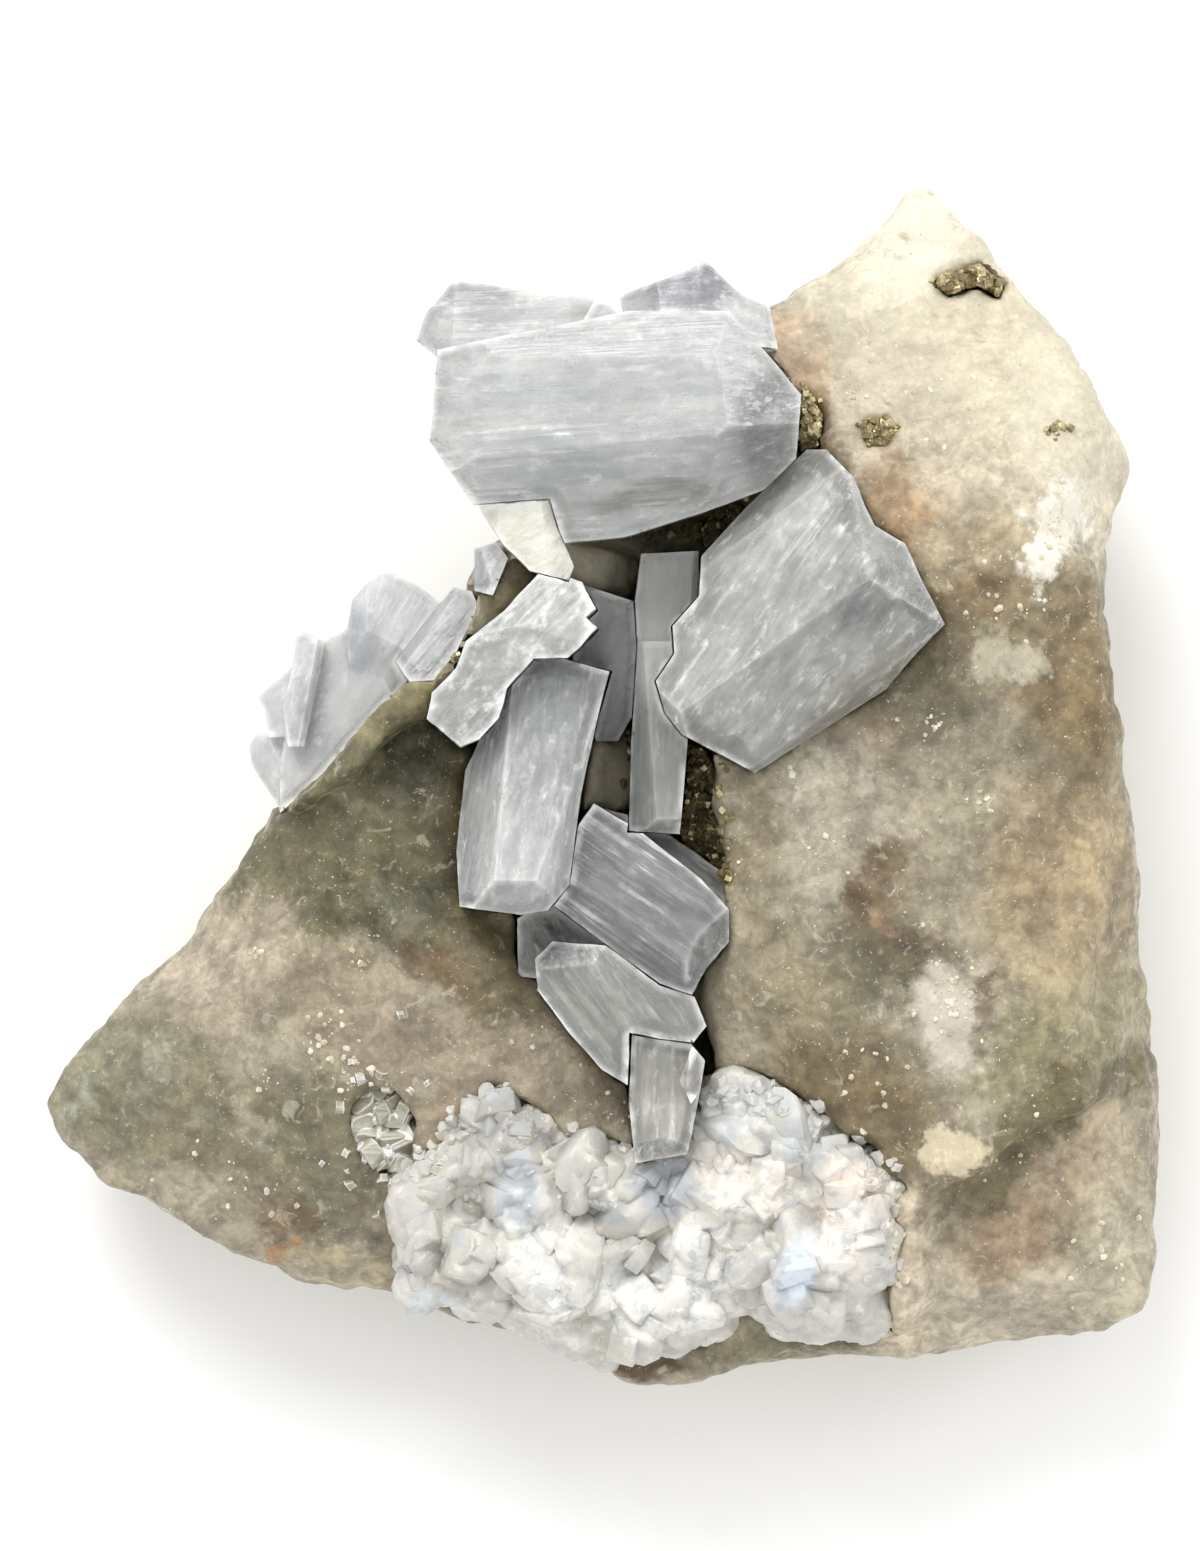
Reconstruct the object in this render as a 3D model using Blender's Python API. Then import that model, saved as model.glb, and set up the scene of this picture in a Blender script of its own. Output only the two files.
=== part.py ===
"""Blue barite: glassy tablets and prisms grown on a broken, pyrite-flecked matrix.

The specimen lies on its back on a flat foot. X runs across its face, Y up its face
and Z towards whoever looks at it. Outlines are corners (x, y) in millimetres, drawn
as seen from above. A flat face is ((x, y), z, toward, dip): one point on it, the way
it slopes down, counted in degrees from +X, and its slope, so that 0 lies level, 90
stands upright and 180 looks straight down.
"""
import math
import random

import bmesh
import bpy
from mathutils import Matrix, Vector

MM = 0.001

# Driving dimensions, in millimetres: the gap between neighbours, a height above it all,
# the matrix's foot, whose top is the floor of the trench, and the beds of the crusts
GAP = 0.3
SKY = 60.0
FOOT_HEIGHT = 10.5
FOOT_MIDDLE = (5.0, -5.0)
FOOT_UNDERCUT = (3.0, 8.0)
FOOT_TRIM = 1.5
FOOT_SEED = 4
ROCK_ALLOWANCE = 0.35
ROCK_VOXEL = 0.6
ROCK_TRIANGLES = 4300
ROCK_OVERLAP = 0.5
CRUST_FLOOR = 13.0
CRUST_BED_TOP = 16.0
CRUST_MARGIN = 0.5
CRUST_VOXEL = 0.5
CRUST_TRIANGLES = 1700
PYRITE_CUBE = 1.25
CUBE_SPACING = 1.15

# Size and depth of the two cloud patterns that weather the matrix
ROCK_SWELLS = (8.0, 1.6)
ROCK_KNOBS = (2.6, 0.5)

# Distances, in metres, below which corners are one corner
MERGE = 2e-6
MERGE_CUT = 5e-6

# Colours as linear red, green and blue
ROCK_COLOUR = (0.36, 0.32, 0.24)
CLEAR_BLUE = (0.56, 0.60, 0.63)
MILK_BLUE = (0.64, 0.67, 0.67)
DEEP_BLUE = (0.27, 0.30, 0.33)
WHITE_CRUST = (0.68, 0.67, 0.64)
CREAM = (0.78, 0.75, 0.66)
GOLD = (0.52, 0.41, 0.18)

# Outline of the whole matrix where it is widest, from the left tip round by the apex
FOOT_OUTLINE = [
    (-36.5, -21.8), (-34.4, -18.8), (-31.6, -16.2), (-29, -13.5), (-24.9, -8.2), (-21.5, -2.4),
    (-16.9, 2.4), (-8.1, 12.4), (-2.6, 19.8), (2.7, 25.3), (9.1, 30), (13.4, 31.8),
    (17.5, 34.5), (20.1, 37.2), (21.2, 39.8), (21.9, 39.8), (23.3, 37.2), (26.3, 34),
    (28, 31.8), (30.7, 29.2), (32.1, 25.8), (34.8, 21.3), (33.1, 15.8), (32.8, 13.2),
    (33.9, 2.5), (34.7, -5.5), (35.7, -13.5), (36.4, -21.5), (36.6, -28.2), (36.1, -35),
    (33.1, -36.3), (25.1, -37.5), (22.1, -38), (13.4, -37.8), (6.7, -39.6), (2.7, -40),
    (-1.6, -38), (-7.9, -36), (-12, -34.2), (-22.3, -32.2), (-27.1, -29.5), (-32.7, -26.8),
    (-35.4, -24.8)]

# Masses of the matrix above the foot: outline, then the flat faces that trim its top
RIGHT_SHOULDER = [
    (9.4, 29.8), (13.4, 31.8), (17.5, 34.5), (20.1, 37.2), (21.2, 39.8), (21.9, 39.8),
    (23.3, 37.2), (26.3, 34), (28, 31.8), (30.7, 29.2), (32.1, 25.8), (34.8, 21.3),
    (33.1, 15.8), (33, 9.2), (17.4, 5.2), (9.7, 11.8), (9.3, 23.8)]
RIGHT_SHOULDER_FACES = [
    ((21.5, 39.8), 11.0, 92, 31), ((20.4, 23.8), 23.0, 80, 10), ((20.4, 14.5), 25.2, 0, 4),
    ((28.1, 23.8), 22.5, 25, 34), ((31.7, 18.5), 20.5, 350, 55), ((14.7, 29.8), 19.0, 130, 42)]
RIGHT_FLANK = [
    (12.1, 14.5), (32.6, 14.5), (33.9, 2.5), (34.7, -5.5), (35.7, -13.5), (36.3, -20),
    (25.7, -23.8), (20.4, -28.4), (16.1, -26.7), (9.7, -21.2), (6.5, -13.8), (6.1, 1.2),
    (9.7, 11.8)]
RIGHT_FLANK_FACES = [
    ((22.1, -1.5), 25.2, 300, 3), ((22.1, -1.5), 25.2, 200, 5), ((30.7, -1.5), 24.3, 2, 32),
    ((33.4, -8.2), 22.0, 0, 60), ((7.5, -6.2), 23.4, 185, 50), ((13.4, -18.2), 23.6, 235, 22)]
LEDGE = [
    (16.7, -14.8), (35.9, -14.8), (36.5, -21.5), (36.7, -28.2), (36.1, -35), (33.1, -36.3),
    (25.1, -37.5), (22.1, -38), (17.5, -37.2), (16.4, -24.8)]
LEDGE_FACES = [
    ((26.7, -26.8), 19.2, 285, 9), ((34.1, -26.8), 18.0, 0, 45), ((26.7, -35.5), 16.0, 275, 55)]
LEFT_SHELF = [
    (-5.3, 15.5), (2.7, 14.5), (2.7, -12.2), (-2.6, -14.8), (-23.9, -8.5), (-24.9, -8.2),
    (-21.5, -2.4), (-16.9, 2.4), (-8.1, 12.4)]
LEFT_SHELF_FACES = [
    ((-11.3, -3.5), 18.6, 60, 4), ((-19.9, -4.8), 17.6, 160, 25), ((0.1, -1.5), 17.5, 0, 50)]
RIM_RIB = [
    (-6.8, 15), (-3.9, 13.7), (-4.6, 11.8), (-7.9, 9.2), (-9.6, 7.3), (-11.3, 4.8),
    (-13.3, 3.6), (-16.6, 0.4), (-19.9, -1.5), (-21.5, -2.4), (-16.9, 2.4), (-8.1, 12.4)]
RIM_RIB_FACES = [((-6.3, 12.8), 26.2, 225, 15), ((-10.6, 6.5), 23.2, 315, 30)]
LEFT_HORN = [
    (-24.9, -8.2), (-29, -13.5), (-31.6, -16.2), (-34.4, -18.8), (-36.5, -21.8), (-35.4, -24.8),
    (-32.7, -26.8), (-27.1, -29.5), (-22.3, -32.2), (-12, -34.2), (-7.9, -36), (2.7, -40),
    (2.7, -20.2), (0.7, -14.8), (-11.9, -8.5)]
LEFT_HORN_FACES = [
    ((-13.3, -15.5), 21.2, 56, 11), ((-13.3, -15.5), 21.2, 236, 10),
    ((-23.3, -20.2), 18.6, 200, 26),
    ((-17.9, -27.5), 17.6, 262, 38), ((-29.9, -14.8), 14.5, 140, 50)]
SADDLE = [
    (-2.9, 19.8), (2.7, 25.3), (9.1, 30), (13.4, 25.2), (13.4, 19.6), (9.4, 18.5), (2.7, 17.8),
    (-2.6, 17.2)]
SADDLE_FACES = [((5.4, 23.2), 24.0, 215, 12)]
CRUST_BED = [
    (-13.3, -24.2), (6.7, -20.2), (16.7, -24.8), (18.7, -37.2), (6.7, -38.5), (2.7, -39.2),
    (-7.9, -35.6), (-12.3, -34)]
CRUST_BED_FACES = [((2.7, -31.5), 14.0, 270, 3)]
LIP = [
    (-2.6, -36.5), (22.1, -36), (22.1, -38), (13.4, -37.8), (6.7, -39.6), (2.7, -40),
    (-1.6, -38)]
LIP_FACES = [((6.7, -36.8), 15.5, 275, 20)]
CHIP = [(22.1, -26), (23, -23.6), (25.8, -22.7), (25.1, -25.2)]
CHIP_FACES = [((23.7, -24.3), 24.6, 200, 12)]
CHIP_ROW = [(19, -28.6), (20.6, -26.6), (20.9, -30.8), (20.5, -35.6), (19.1, -36.8)]
CHIP_ROW_FACES = [((19.8, -30.8), 20.8, 265, 8)]

MASSES = [
    (RIGHT_SHOULDER, RIGHT_SHOULDER_FACES), (RIGHT_FLANK, RIGHT_FLANK_FACES),
    (LEDGE, LEDGE_FACES), (LEFT_SHELF, LEFT_SHELF_FACES), (RIM_RIB, RIM_RIB_FACES),
    (LEFT_HORN, LEFT_HORN_FACES), (SADDLE, SADDLE_FACES), (CRUST_BED, CRUST_BED_FACES),
    (LIP, LIP_FACES), (CHIP, CHIP_FACES), (CHIP_ROW, CHIP_ROW_FACES)]

# Each crystal: outline, height of its root, then its flat faces
TABLET = (
    [(-10.5, 28.1), (-11, 22.2), (-8.1, 18), (-2.6, 15.6), (1.6, 16), (6.7, 17.6), (12.8, 19.9),
     (13.2, 25.2), (11.4, 27.4), (8.5, 30.6), (2, 30.6)],
    20.0,
    [((0.1, 27.7), 34.5, 90, 11), ((0.1, 27.7), 34.5, 272, 3), ((0.1, 22), 34.2, 275, 32),
     ((-7.4, 25.2), 34.3, 184, 15), ((8.2, 25.2), 34.3, 4, 27), ((6.1, 20.4), 33.2, 303, 46),
     ((-10.9, 24.5), 27.5, 180, 128), ((-2.6, 26.5), 22.0, 215, 160)])
BACK_TABLET = (
    [(-9.5, 32.7), (-0.1, 31.6), (0.2, 28.8), (-2.6, 26.2), (-8.6, 26.2), (-11.9, 28.9),
     (-11.3, 30.6)],
    21.0,
    [((-6.6, 28.8), 31.0, 88, 10), ((-9.8, 29.8), 30.7, 160, 30), ((-0.6, 30.5), 30.2, 30, 24),
     ((-10.6, 31.2), 26.0, 150, 130)])
WEDGE_BEHIND = (
    [(-1.4, 29.2), (-0.1, 31.6), (0.5, 31.2), (1.1, 30.6), (0.2, 28.4)],
    23.0,
    [((0.1, 29.8), 32.4, 60, 24)])
HIND_CRYSTAL = (
    [(1.5, 31.8), (4.9, 33), (7, 34), (9.3, 31.8), (11.2, 31), (11.7, 28.4), (2.7, 28.4),
     (1.7, 30.2)],
    20.0,
    [((6.1, 30.5), 31.2, 92, 17), ((3.7, 31), 30.8, 160, 32), ((8.6, 31.8), 29.8, 35, 34),
     ((6.1, 32.8), 26.0, 90, 125)])
CREAM_WEDGE = (
    [(-7.8, 17.9), (-3.4, 18.2), (-2.8, 16.3), (-1.8, 14), (-2.1, 13.2), (-4.5, 13.8),
     (-6.2, 15.5)],
    22.0,
    [((-5.1, 18), 31.4, 262, 20), ((-6.7, 16.8), 30.8, 205, 38), ((-3.1, 15.5), 30.2, 340, 40)])
RIM_POINT = (
    [(-8.1, 15.1), (-6.8, 15.5), (-6.1, 14.5), (-7, 12.2), (-8.1, 12.5)],
    18.0,
    [((-7.3, 14.5), 27.4, 120, 18), ((-7.7, 14.2), 27.0, 182, 58)])
RIDGE_CRYSTAL = (
    [(-3.9, 13.4), (-2.1, 13.2), (-1.2, 12.8), (-0.3, 11.2), (-0.9, 10.6), (-0.3, 9.9),
     (-1.3, 8.8), (-2.1, 8.1), (-4.3, 8), (-6.1, 6), (-6.7, 4.1), (-7.9, 2.7), (-9.1, 2.2),
     (-11.2, 4), (-10.9, 5.6), (-9.3, 7.2), (-8.6, 9), (-6.1, 11)],
    17.0,
    [((-0.9, 11), 31.6, 168, 9), ((-6.6, 7.8), 30.0, 228, 20), ((-5.3, 11), 30.4, 130, 34)])
LEFT_PRISM = (
    [(-3.9, 8.2), (0.6, 7), (-0.1, 4.4), (-1.3, -1), (-2.1, -7), (-3.4, -8.6), (-5.1, -8.9),
     (-9.1, -8.4), (-9.3, -4.8), (-8.7, 0.5), (-6.1, 6), (-5.3, 7.3)],
    12.0,
    [((-3.9, 5.2), 27.0, 90, 9), ((-6.3, -0.8), 27.95, 169, 58), ((-1.6, 0.2), 27.8, 350, 40),
     ((-5.3, -6.7), 28.9, 270, 42), ((-3.6, 7), 26.7, 100, 30)])
BLADE_TOP = (
    [(2.9, 14.8), (6.5, 15), (6.5, 11.7), (6.3, 8.8), (2.7, 8.8), (2.5, 11.8)],
    7.5,
    [((4.6, 11.8), 22.4, 90, 5), ((6.1, 12.5), 22.3, 0, 42)])
BLADE_FOOT = (
    [(2.7, 9), (6.3, 9), (5.3, -3.6), (2.1, -3.4), (2.3, 2.5)],
    7.5,
    [((4.1, 5.2), 23.4, 90, 3), ((3.1, 2.5), 23.3, 180, 34), ((3.7, -2.7), 23.8, 270, 36)])
REAR_BLADE = (
    [(-1.6, 13), (3.1, 11.4), (2.7, 5.2), (1.2, 2.6), (-0.1, 2.6), (-1.6, 7.8)],
    7.0,
    [((1.4, 10.5), 21.4, 262, 22)])
BLOCK_CRYSTAL = (
    [(13.8, 21.6), (15, 21.6), (16.7, 19.8), (17.5, 17.8), (18.1, 16.6), (20.1, 15.4),
     (21.3, 12.8), (22.7, 10.2), (20.9, 8.4), (18.9, 6), (15.5, 3.8), (10.3, 0.5), (5.6, 3),
     (4.5, 4.4), (3.9, 6.4), (5.1, 8.2), (5, 10), (6.7, 12), (6.9, 14.6), (9.8, 17.8),
     (10.9, 18.8)],
    14.0,
    [((17.8, 13.1), 31.0, 145.5, 13), ((17.8, 13.1), 31.0, 293.8, 22),
     ((17.8, 13.1), 31.0, 25.7, 31),
     ((10.4, 16.3), 29.2, 130, 50), ((4.9, 5.2), 29.8, 215, 52), ((14.3, 3.9), 28.2, 303, 55)])
SLANT_PRISM = (
    [(-1.2, -3.1), (-0.3, -1.8), (2.7, -3.6), (6.7, -6.8), (8.5, -8.7), (8.5, -10.8),
     (7, -12.5), (6.1, -14.2), (4.1, -13.5), (-3, -8.3)],
    12.0,
    [((2.7, -7.8), 26.0, 55, 20), ((2.2, -8.5), 26.0, 55, 2), ((1.7, -9.2), 25.95, 235, 26),
     ((7.1, -10.2), 25.6, 335, 42)])
SLANT_SHADOW = (
    [(0.1, -2), (3.4, -3), (8.1, -6.3), (8.5, -8.7), (2.7, -4.8)],
    12.0,
    [((5.4, -5.5), 21.0, 55, 25)])
LOWER_PRISM = (
    [(-3, -10.9), (0.9, -11.2), (4.1, -13.5), (6.1, -14.2), (7, -16.4), (6.1, -17.6),
     (2.7, -19.8), (2, -20.3), (0.3, -19.2), (-1.9, -16.7), (-3.9, -14), (-4.1, -12)],
    12.0,
    [((1.3, -15.2), 25.6, 214, 17), ((1.3, -15.2), 25.6, 22, 13), ((-1.9, -11.8), 25.0, 130, 26)])
GAP_CRYSTAL = (
    [(-3.4, -8.4), (1.1, -11.2), (0.1, -12.8), (-4.1, -13.2), (-5.3, -13.1), (-5.3, -9.4)],
    12.0,
    [((-2.6, -10.8), 20.0, 160, 14)])
END_PRISM = (
    [(2.3, -17.1), (3.9, -17.4), (6.1, -17.7), (6.8, -18.7), (6.5, -21.2), (5.8, -24.8),
     (2.5, -25.4), (2.1, -21.5)],
    12.0,
    [((4.3, -20.8), 24.8, 0, 13), ((4.3, -20.8), 24.8, 180, 9), ((4.1, -24.2), 24.5, 270, 30)])
SPLINTER = (
    [(6.2, -17.8), (6.9, -18.7), (6.6, -20.6), (6.1, -21.4), (5.5, -20)],
    14.0,
    [((6.1, -19.5), 26.2, 350, 20), ((5.9, -19.5), 26.2, 175, 40)])
SIDE_TABLET = (
    [(-16.6, 10), (-16.3, 11.9), (-14.9, 13.5), (-13.9, 13.6), (-12.5, 13), (-10.5, 11.6),
     (-11.9, 7.8), (-13.9, 5.2), (-16.6, 5.8)],
    6.0,
    [((-13.3, 10.5), 18.0, 80, 8), ((-15.3, 11.8), 17.9, 172, 46), ((-14.6, 8.5), 17.8, 235, 24),
     ((-14.7, 13.3), 14.6, 132, 136)])
SIDE_PANE = (
    [(-19.5, 8.4), (-16.6, 10), (-13.3, 8.4), (-12.9, 6.5), (-16.7, 2.4), (-18.9, -0.2),
     (-21.2, -2.2), (-21.1, 1.2)],
    6.0,
    [((-16.9, 5.8), 17.0, 140, 9), ((-14.1, 7.5), 16.8, 40, 30), ((-19.9, 6.5), 13.6, 140, 138)])
SIDE_SPAR = (
    [(-20, 9.8), (-18.4, 9), (-18.7, 7.2), (-19.7, 2.2), (-20.6, 2.2), (-20.9, 4.6),
     (-20.3, 7.4)],
    8.0,
    [((-19.6, 5.8), 18.4, 170, 24), ((-19.1, 5.8), 18.3, 350, 40), ((-20.1, 9.2), 14.2, 140, 132)])
SIDE_STUB = (
    [(-22.8, 5.3), (-21.5, 6.4), (-20.3, 7.4), (-19.9, 5.2), (-20.5, 2.8), (-21.9, 2.8),
     (-22.2, 4.6)],
    8.0,
    [((-20.9, 5.2), 16.0, 150, 22), ((-22.5, 5.2), 12.8, 165, 136)])
SIDE_TOE = (
    [(-23.2, 2.2), (-22.8, 2.9), (-21.1, 2.8), (-20.5, 1.2), (-20.9, -2.3), (-22.3, -0.3),
     (-23.1, 1)],
    6.0,
    [((-21.5, 1.2), 15.0, 190, 34), ((-21.3, 1.2), 15.2, 60, 14), ((-22.9, 1.8), 11.5, 175, 134)])
RIM_TABLET = (
    [(-9.6, 12.6), (-8.5, 12.3), (-8.1, 11.4), (-9.5, 8.5), (-11, 6.6), (-12.5, 6.5),
     (-13.3, 7.8)],
    9.0,
    [((-9.9, 9.8), 21.0, 120, 14), ((-11.3, 9.8), 20.6, 142, 62), ((-11.3, 10.2), 16.0, 135, 140)])

# Beds: outline and height of the floor that the small crystals stand on
CRUST_OUTLINE = [
    (-12.9, -27.4), (-10.6, -25.2), (-9.3, -24.1), (-8.5, -22.6), (-7, -21.1), (-4.5, -22.2),
    (-2.1, -24.6), (-0.6, -24.1), (2.4, -25.5), (6, -25), (6.7, -21.6), (8.3, -20.3),
    (9.6, -19.8), (13.1, -21.6), (14.7, -22.4), (15.9, -24.1), (17.9, -24.7), (17.2, -25.6),
    (19.5, -27.2), (18.1, -28.7), (19.4, -30.2), (18.7, -33.8), (18.9, -36.4), (16.7, -36.9),
    (12.1, -36.4), (10.6, -35), (9.1, -34.9), (8.1, -36.6), (5.7, -37.4), (1.7, -37.2),
    (0.7, -38.7), (-1.7, -38), (-3.5, -36.5), (-8, -35.9), (-8.3, -35.1), (-12.3, -34.1),
    (-12.7, -31.8)]
# Lumps of the crust: middle (x, y), height of its top, half width
CRUST_LUMPS = [
    ((-10.9, -28.5), 21.0, 3.0), ((-9.6, -26.2), 21.5, 2.2), ((-10.6, -32.3), 20.0, 2.6),
    ((-6.8, -23.5), 23.0, 2.6), ((-4.3, -24.2), 22.4, 2.4), ((-6.6, -27.2), 21.6, 2.6),
    ((-7.6, -30.5), 21.4, 2.4), ((-6.1, -33.8), 20.6, 2.8), ((-3.4, -28.8), 22.6, 2.8),
    ((-2.6, -25.8), 22.0, 2.2), ((-3.6, -32.5), 22.6, 2.8), ((-2.6, -35.8), 19.6, 2.4),
    ((-0.1, -26.3), 22.8, 2.4), ((1.9, -26.8), 23.0, 2.6), ((0.1, -31.5), 22.2, 2.8),
    ((0.4, -34.8), 21.4, 2.8), ((3.7, -30.5), 22.4, 3.2), ((4.4, -27.2), 21.6, 3.0),
    ((4.1, -33.8), 22.0, 3.0), ((3.4, -36.2), 19.8, 2.0), ((7.7, -24.8), 24.0, 3.4),
    ((9.7, -22.2), 24.0, 2.6), ((9.1, -27.5), 24.6, 3.4), ((12.4, -24.2), 24.2, 3.4),
    ((11.1, -26.8), 24.2, 3.0), ((7.4, -29.5), 23.2, 2.8), ((6.7, -33.5), 22.4, 3.0),
    ((10.1, -31.8), 23.6, 3.0), ((16.1, -25.2), 22.4, 1.8), ((15.4, -27.8), 24.0, 2.6),
    ((17.7, -27.5), 22.8, 1.9), ((13.4, -30.8), 24.2, 2.6), ((16.4, -30.5), 23.4, 2.8),
    ((13.4, -34.2), 23.4, 2.8), ((16.7, -34.2), 22.0, 2.8), ((7.5, -35.5), 19.8, 1.8),
    ((0.1, -37.2), 18.4, 1.8)]
CRUST_SEED = 11

HOLLOW_OUTLINE = [
    (-16.5, -21.8), (-15.1, -20.6), (-13.3, -20.8), (-12.1, -22.8), (-12.6, -25.4),
    (-14.2, -26.3), (-15.9, -25)]
HOLLOW_FLOOR = 15.5
HOLLOW_TOP = 19.4
HOLLOW_CUBE = 1.5
HOLLOW_SEED = 5

# Pyrite beds: outline, floor, height of the cubes' tops and seed
PYRITE_BEDS = {
    "pyrite_seam": (
        [(5.8, 2.4), (6.7, 2.6), (7.7, 0.8), (7.5, -1.5), (8.2, -3.8), (8.5, -5.6), (7.5, -7.1),
         (6.3, -6.6), (5.5, -4.7), (5.4, -4), (5.7, -0.8)], 11.0, 18.0, 3),
    "pyrite_step": (
        [(7, 16.8), (8.2, 18.5), (9.7, 18.5), (9.7, 17.6), (8.3, 16), (7.1, 15.2)], 7.5, 15.0, 8),
    "pyrite_notch": (
        [(13.2, 25.4), (13.8, 25.7), (14.9, 24.2), (14.6, 22.1), (13.4, 21.7),
         (13.4, 23.8)], 17.0, 21.8, 4),
    "pyrite_shoulder": (
        [(17.5, 23.6), (18.6, 24), (19.6, 23.3), (19.1, 22.1), (17.8, 22)], 20.0, 22.9, 6),
    "pyrite_apex": (
        [(22.5, 33.2), (23.9, 33.8), (25.4, 34.4), (27, 32.9), (26.7, 32.1), (25.3, 32.9),
         (23.3, 32.2)],
        13.0, 16.6, 9)}


def start_empty():
    """Removes what the scene holds."""
    for thing in list(bpy.data.objects):
        bpy.data.objects.remove(thing, do_unlink=True)


def finish_material(name, colour, roughness, metallic=0.0, transmission=0.0):
    """A Principled material for one piece."""
    material = bpy.data.materials.new(name)
    material.use_nodes = True
    shader = material.node_tree.nodes["Principled BSDF"]
    shader.inputs["Base Color"].default_value = (*colour, 1.0)
    shader.inputs["Roughness"].default_value = roughness
    shader.inputs["Metallic"].default_value = metallic
    shader.inputs["Transmission Weight"].default_value = transmission
    shader.inputs["IOR"].default_value = 1.64
    material.diffuse_color = (*colour, 1.0)
    return material


def shifted_outline(outline, distance):
    """The outline moved outwards by a distance, with mitred corners."""
    corners = [Vector(corner) for corner in outline]
    area = sum(a.cross(b) for a, b in zip(corners, corners[1:] + corners[:1]))
    side = 1.0 if area > 0.0 else -1.0
    moved = []
    previous = corners[-1:] + corners[:-1]
    following = corners[1:] + corners[:1]
    for before, here, after in zip(previous, corners, following):
        way_in = (here - before).normalized()
        way_out = (after - here).normalized()
        out_in = Vector((way_in.y, -way_in.x)) * side
        out_out = Vector((way_out.y, -way_out.x)) * side
        middle = (out_in + out_out).normalized()
        reach = distance / max(0.5, middle.dot(out_in))
        moved.append(here + middle * reach)
    return moved


def prism_mesh(outline, low, high, foot_outline=None):
    """A closed prism over an outline; its foot may have an outline of its own."""
    mesh = bmesh.new()
    foot = [mesh.verts.new((x * MM, y * MM, low * MM)) for x, y in foot_outline or outline]
    top = [mesh.verts.new((x * MM, y * MM, high * MM)) for x, y in outline]
    mesh.faces.new(foot)
    mesh.faces.new(top)
    count = len(foot)
    for index in range(count):
        following = (index + 1) % count
        mesh.faces.new((foot[index], foot[following], top[following], top[index]))
    bmesh.ops.recalc_face_normals(mesh, faces=mesh.faces)
    return mesh


def trim(mesh, face):
    """Cuts a closed mesh along one flat face and closes it again."""
    (x, y), z, toward, dip = face
    turn, slope = math.radians(toward), math.radians(dip)
    level = math.sin(slope)
    normal = Vector((level * math.cos(turn), level * math.sin(turn), math.cos(slope)))
    point = Vector((x, y, z)) * MM
    everything = mesh.verts[:] + mesh.edges[:] + mesh.faces[:]
    bmesh.ops.bisect_plane(
        mesh, geom=everything, dist=1e-6, plane_co=point, plane_no=normal, clear_outer=True)
    rim = [edge for edge in mesh.edges if edge.is_boundary]
    if rim:
        bmesh.ops.edgeloop_fill(mesh, edges=rim)
    bmesh.ops.recalc_face_normals(mesh, faces=mesh.faces)


def place(mesh, name):
    """Puts a mesh in the scene as an object of its own."""
    bmesh.ops.remove_doubles(mesh, verts=mesh.verts, dist=MERGE)
    data = bpy.data.meshes.new(name)
    mesh.to_mesh(data)
    mesh.free()
    thing = bpy.data.objects.new(name, data)
    bpy.context.scene.collection.objects.link(thing)
    return thing


def crystal(name, shape):
    """A flat-faced crystal from its outline, its root and its faces."""
    outline, root, faces = shape
    mesh = prism_mesh(outline, root, SKY)
    for face in faces:
        trim(mesh, face)
    return place(mesh, name)


def cutter(outline, low):
    """An upright cutter that leaves the usual gap round an outline."""
    thing = place(prism_mesh(shifted_outline(outline, GAP), low - GAP, SKY + 5.0), "cutter")
    thing.hide_render = True
    thing.display_type = "WIRE"
    return thing


def apply_modifier(thing, kind, **settings):
    """Adds one modifier with its settings and applies it."""
    modifier = thing.modifiers.new(kind.title(), kind)
    for key, value in settings.items():
        setattr(modifier, key, value)
    bpy.context.view_layer.objects.active = thing
    bpy.ops.object.modifier_apply(modifier=modifier.name)


def combine(thing, other, operation):
    """A Boolean of two closed bodies; the second one is used up."""
    apply_modifier(thing, "BOOLEAN", operation=operation, object=other, solver="EXACT")
    bpy.data.objects.remove(other, do_unlink=True)


def keep_main_body(thing):
    """Drops crumbs that a cut leaves loose, and merges needle-thin corners."""
    mesh = bmesh.new()
    mesh.from_mesh(thing.data)
    bmesh.ops.remove_doubles(mesh, verts=mesh.verts, dist=MERGE_CUT)
    bmesh.ops.dissolve_degenerate(mesh, edges=mesh.edges, dist=MERGE_CUT)
    waiting = set(mesh.verts)
    bodies = []
    while waiting:
        body, front = set(), [waiting.pop()]
        while front:
            vertex = front.pop()
            body.add(vertex)
            for edge in vertex.link_edges:
                other = edge.other_vert(vertex)
                if other in waiting:
                    waiting.remove(other)
                    front.append(other)
        bodies.append(body)
    bodies.sort(key=spread, reverse=True)
    crumbs = [vertex for body in bodies[1:] for vertex in body]
    bmesh.ops.delete(mesh, geom=crumbs, context="VERTS")
    mesh.to_mesh(thing.data)
    mesh.free()


def spread(body):
    """The volume of the box round a set of vertices."""
    sizes = [max(v.co[axis] for v in body) - min(v.co[axis] for v in body) for axis in range(3)]
    return sizes[0] * sizes[1] * sizes[2]


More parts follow.
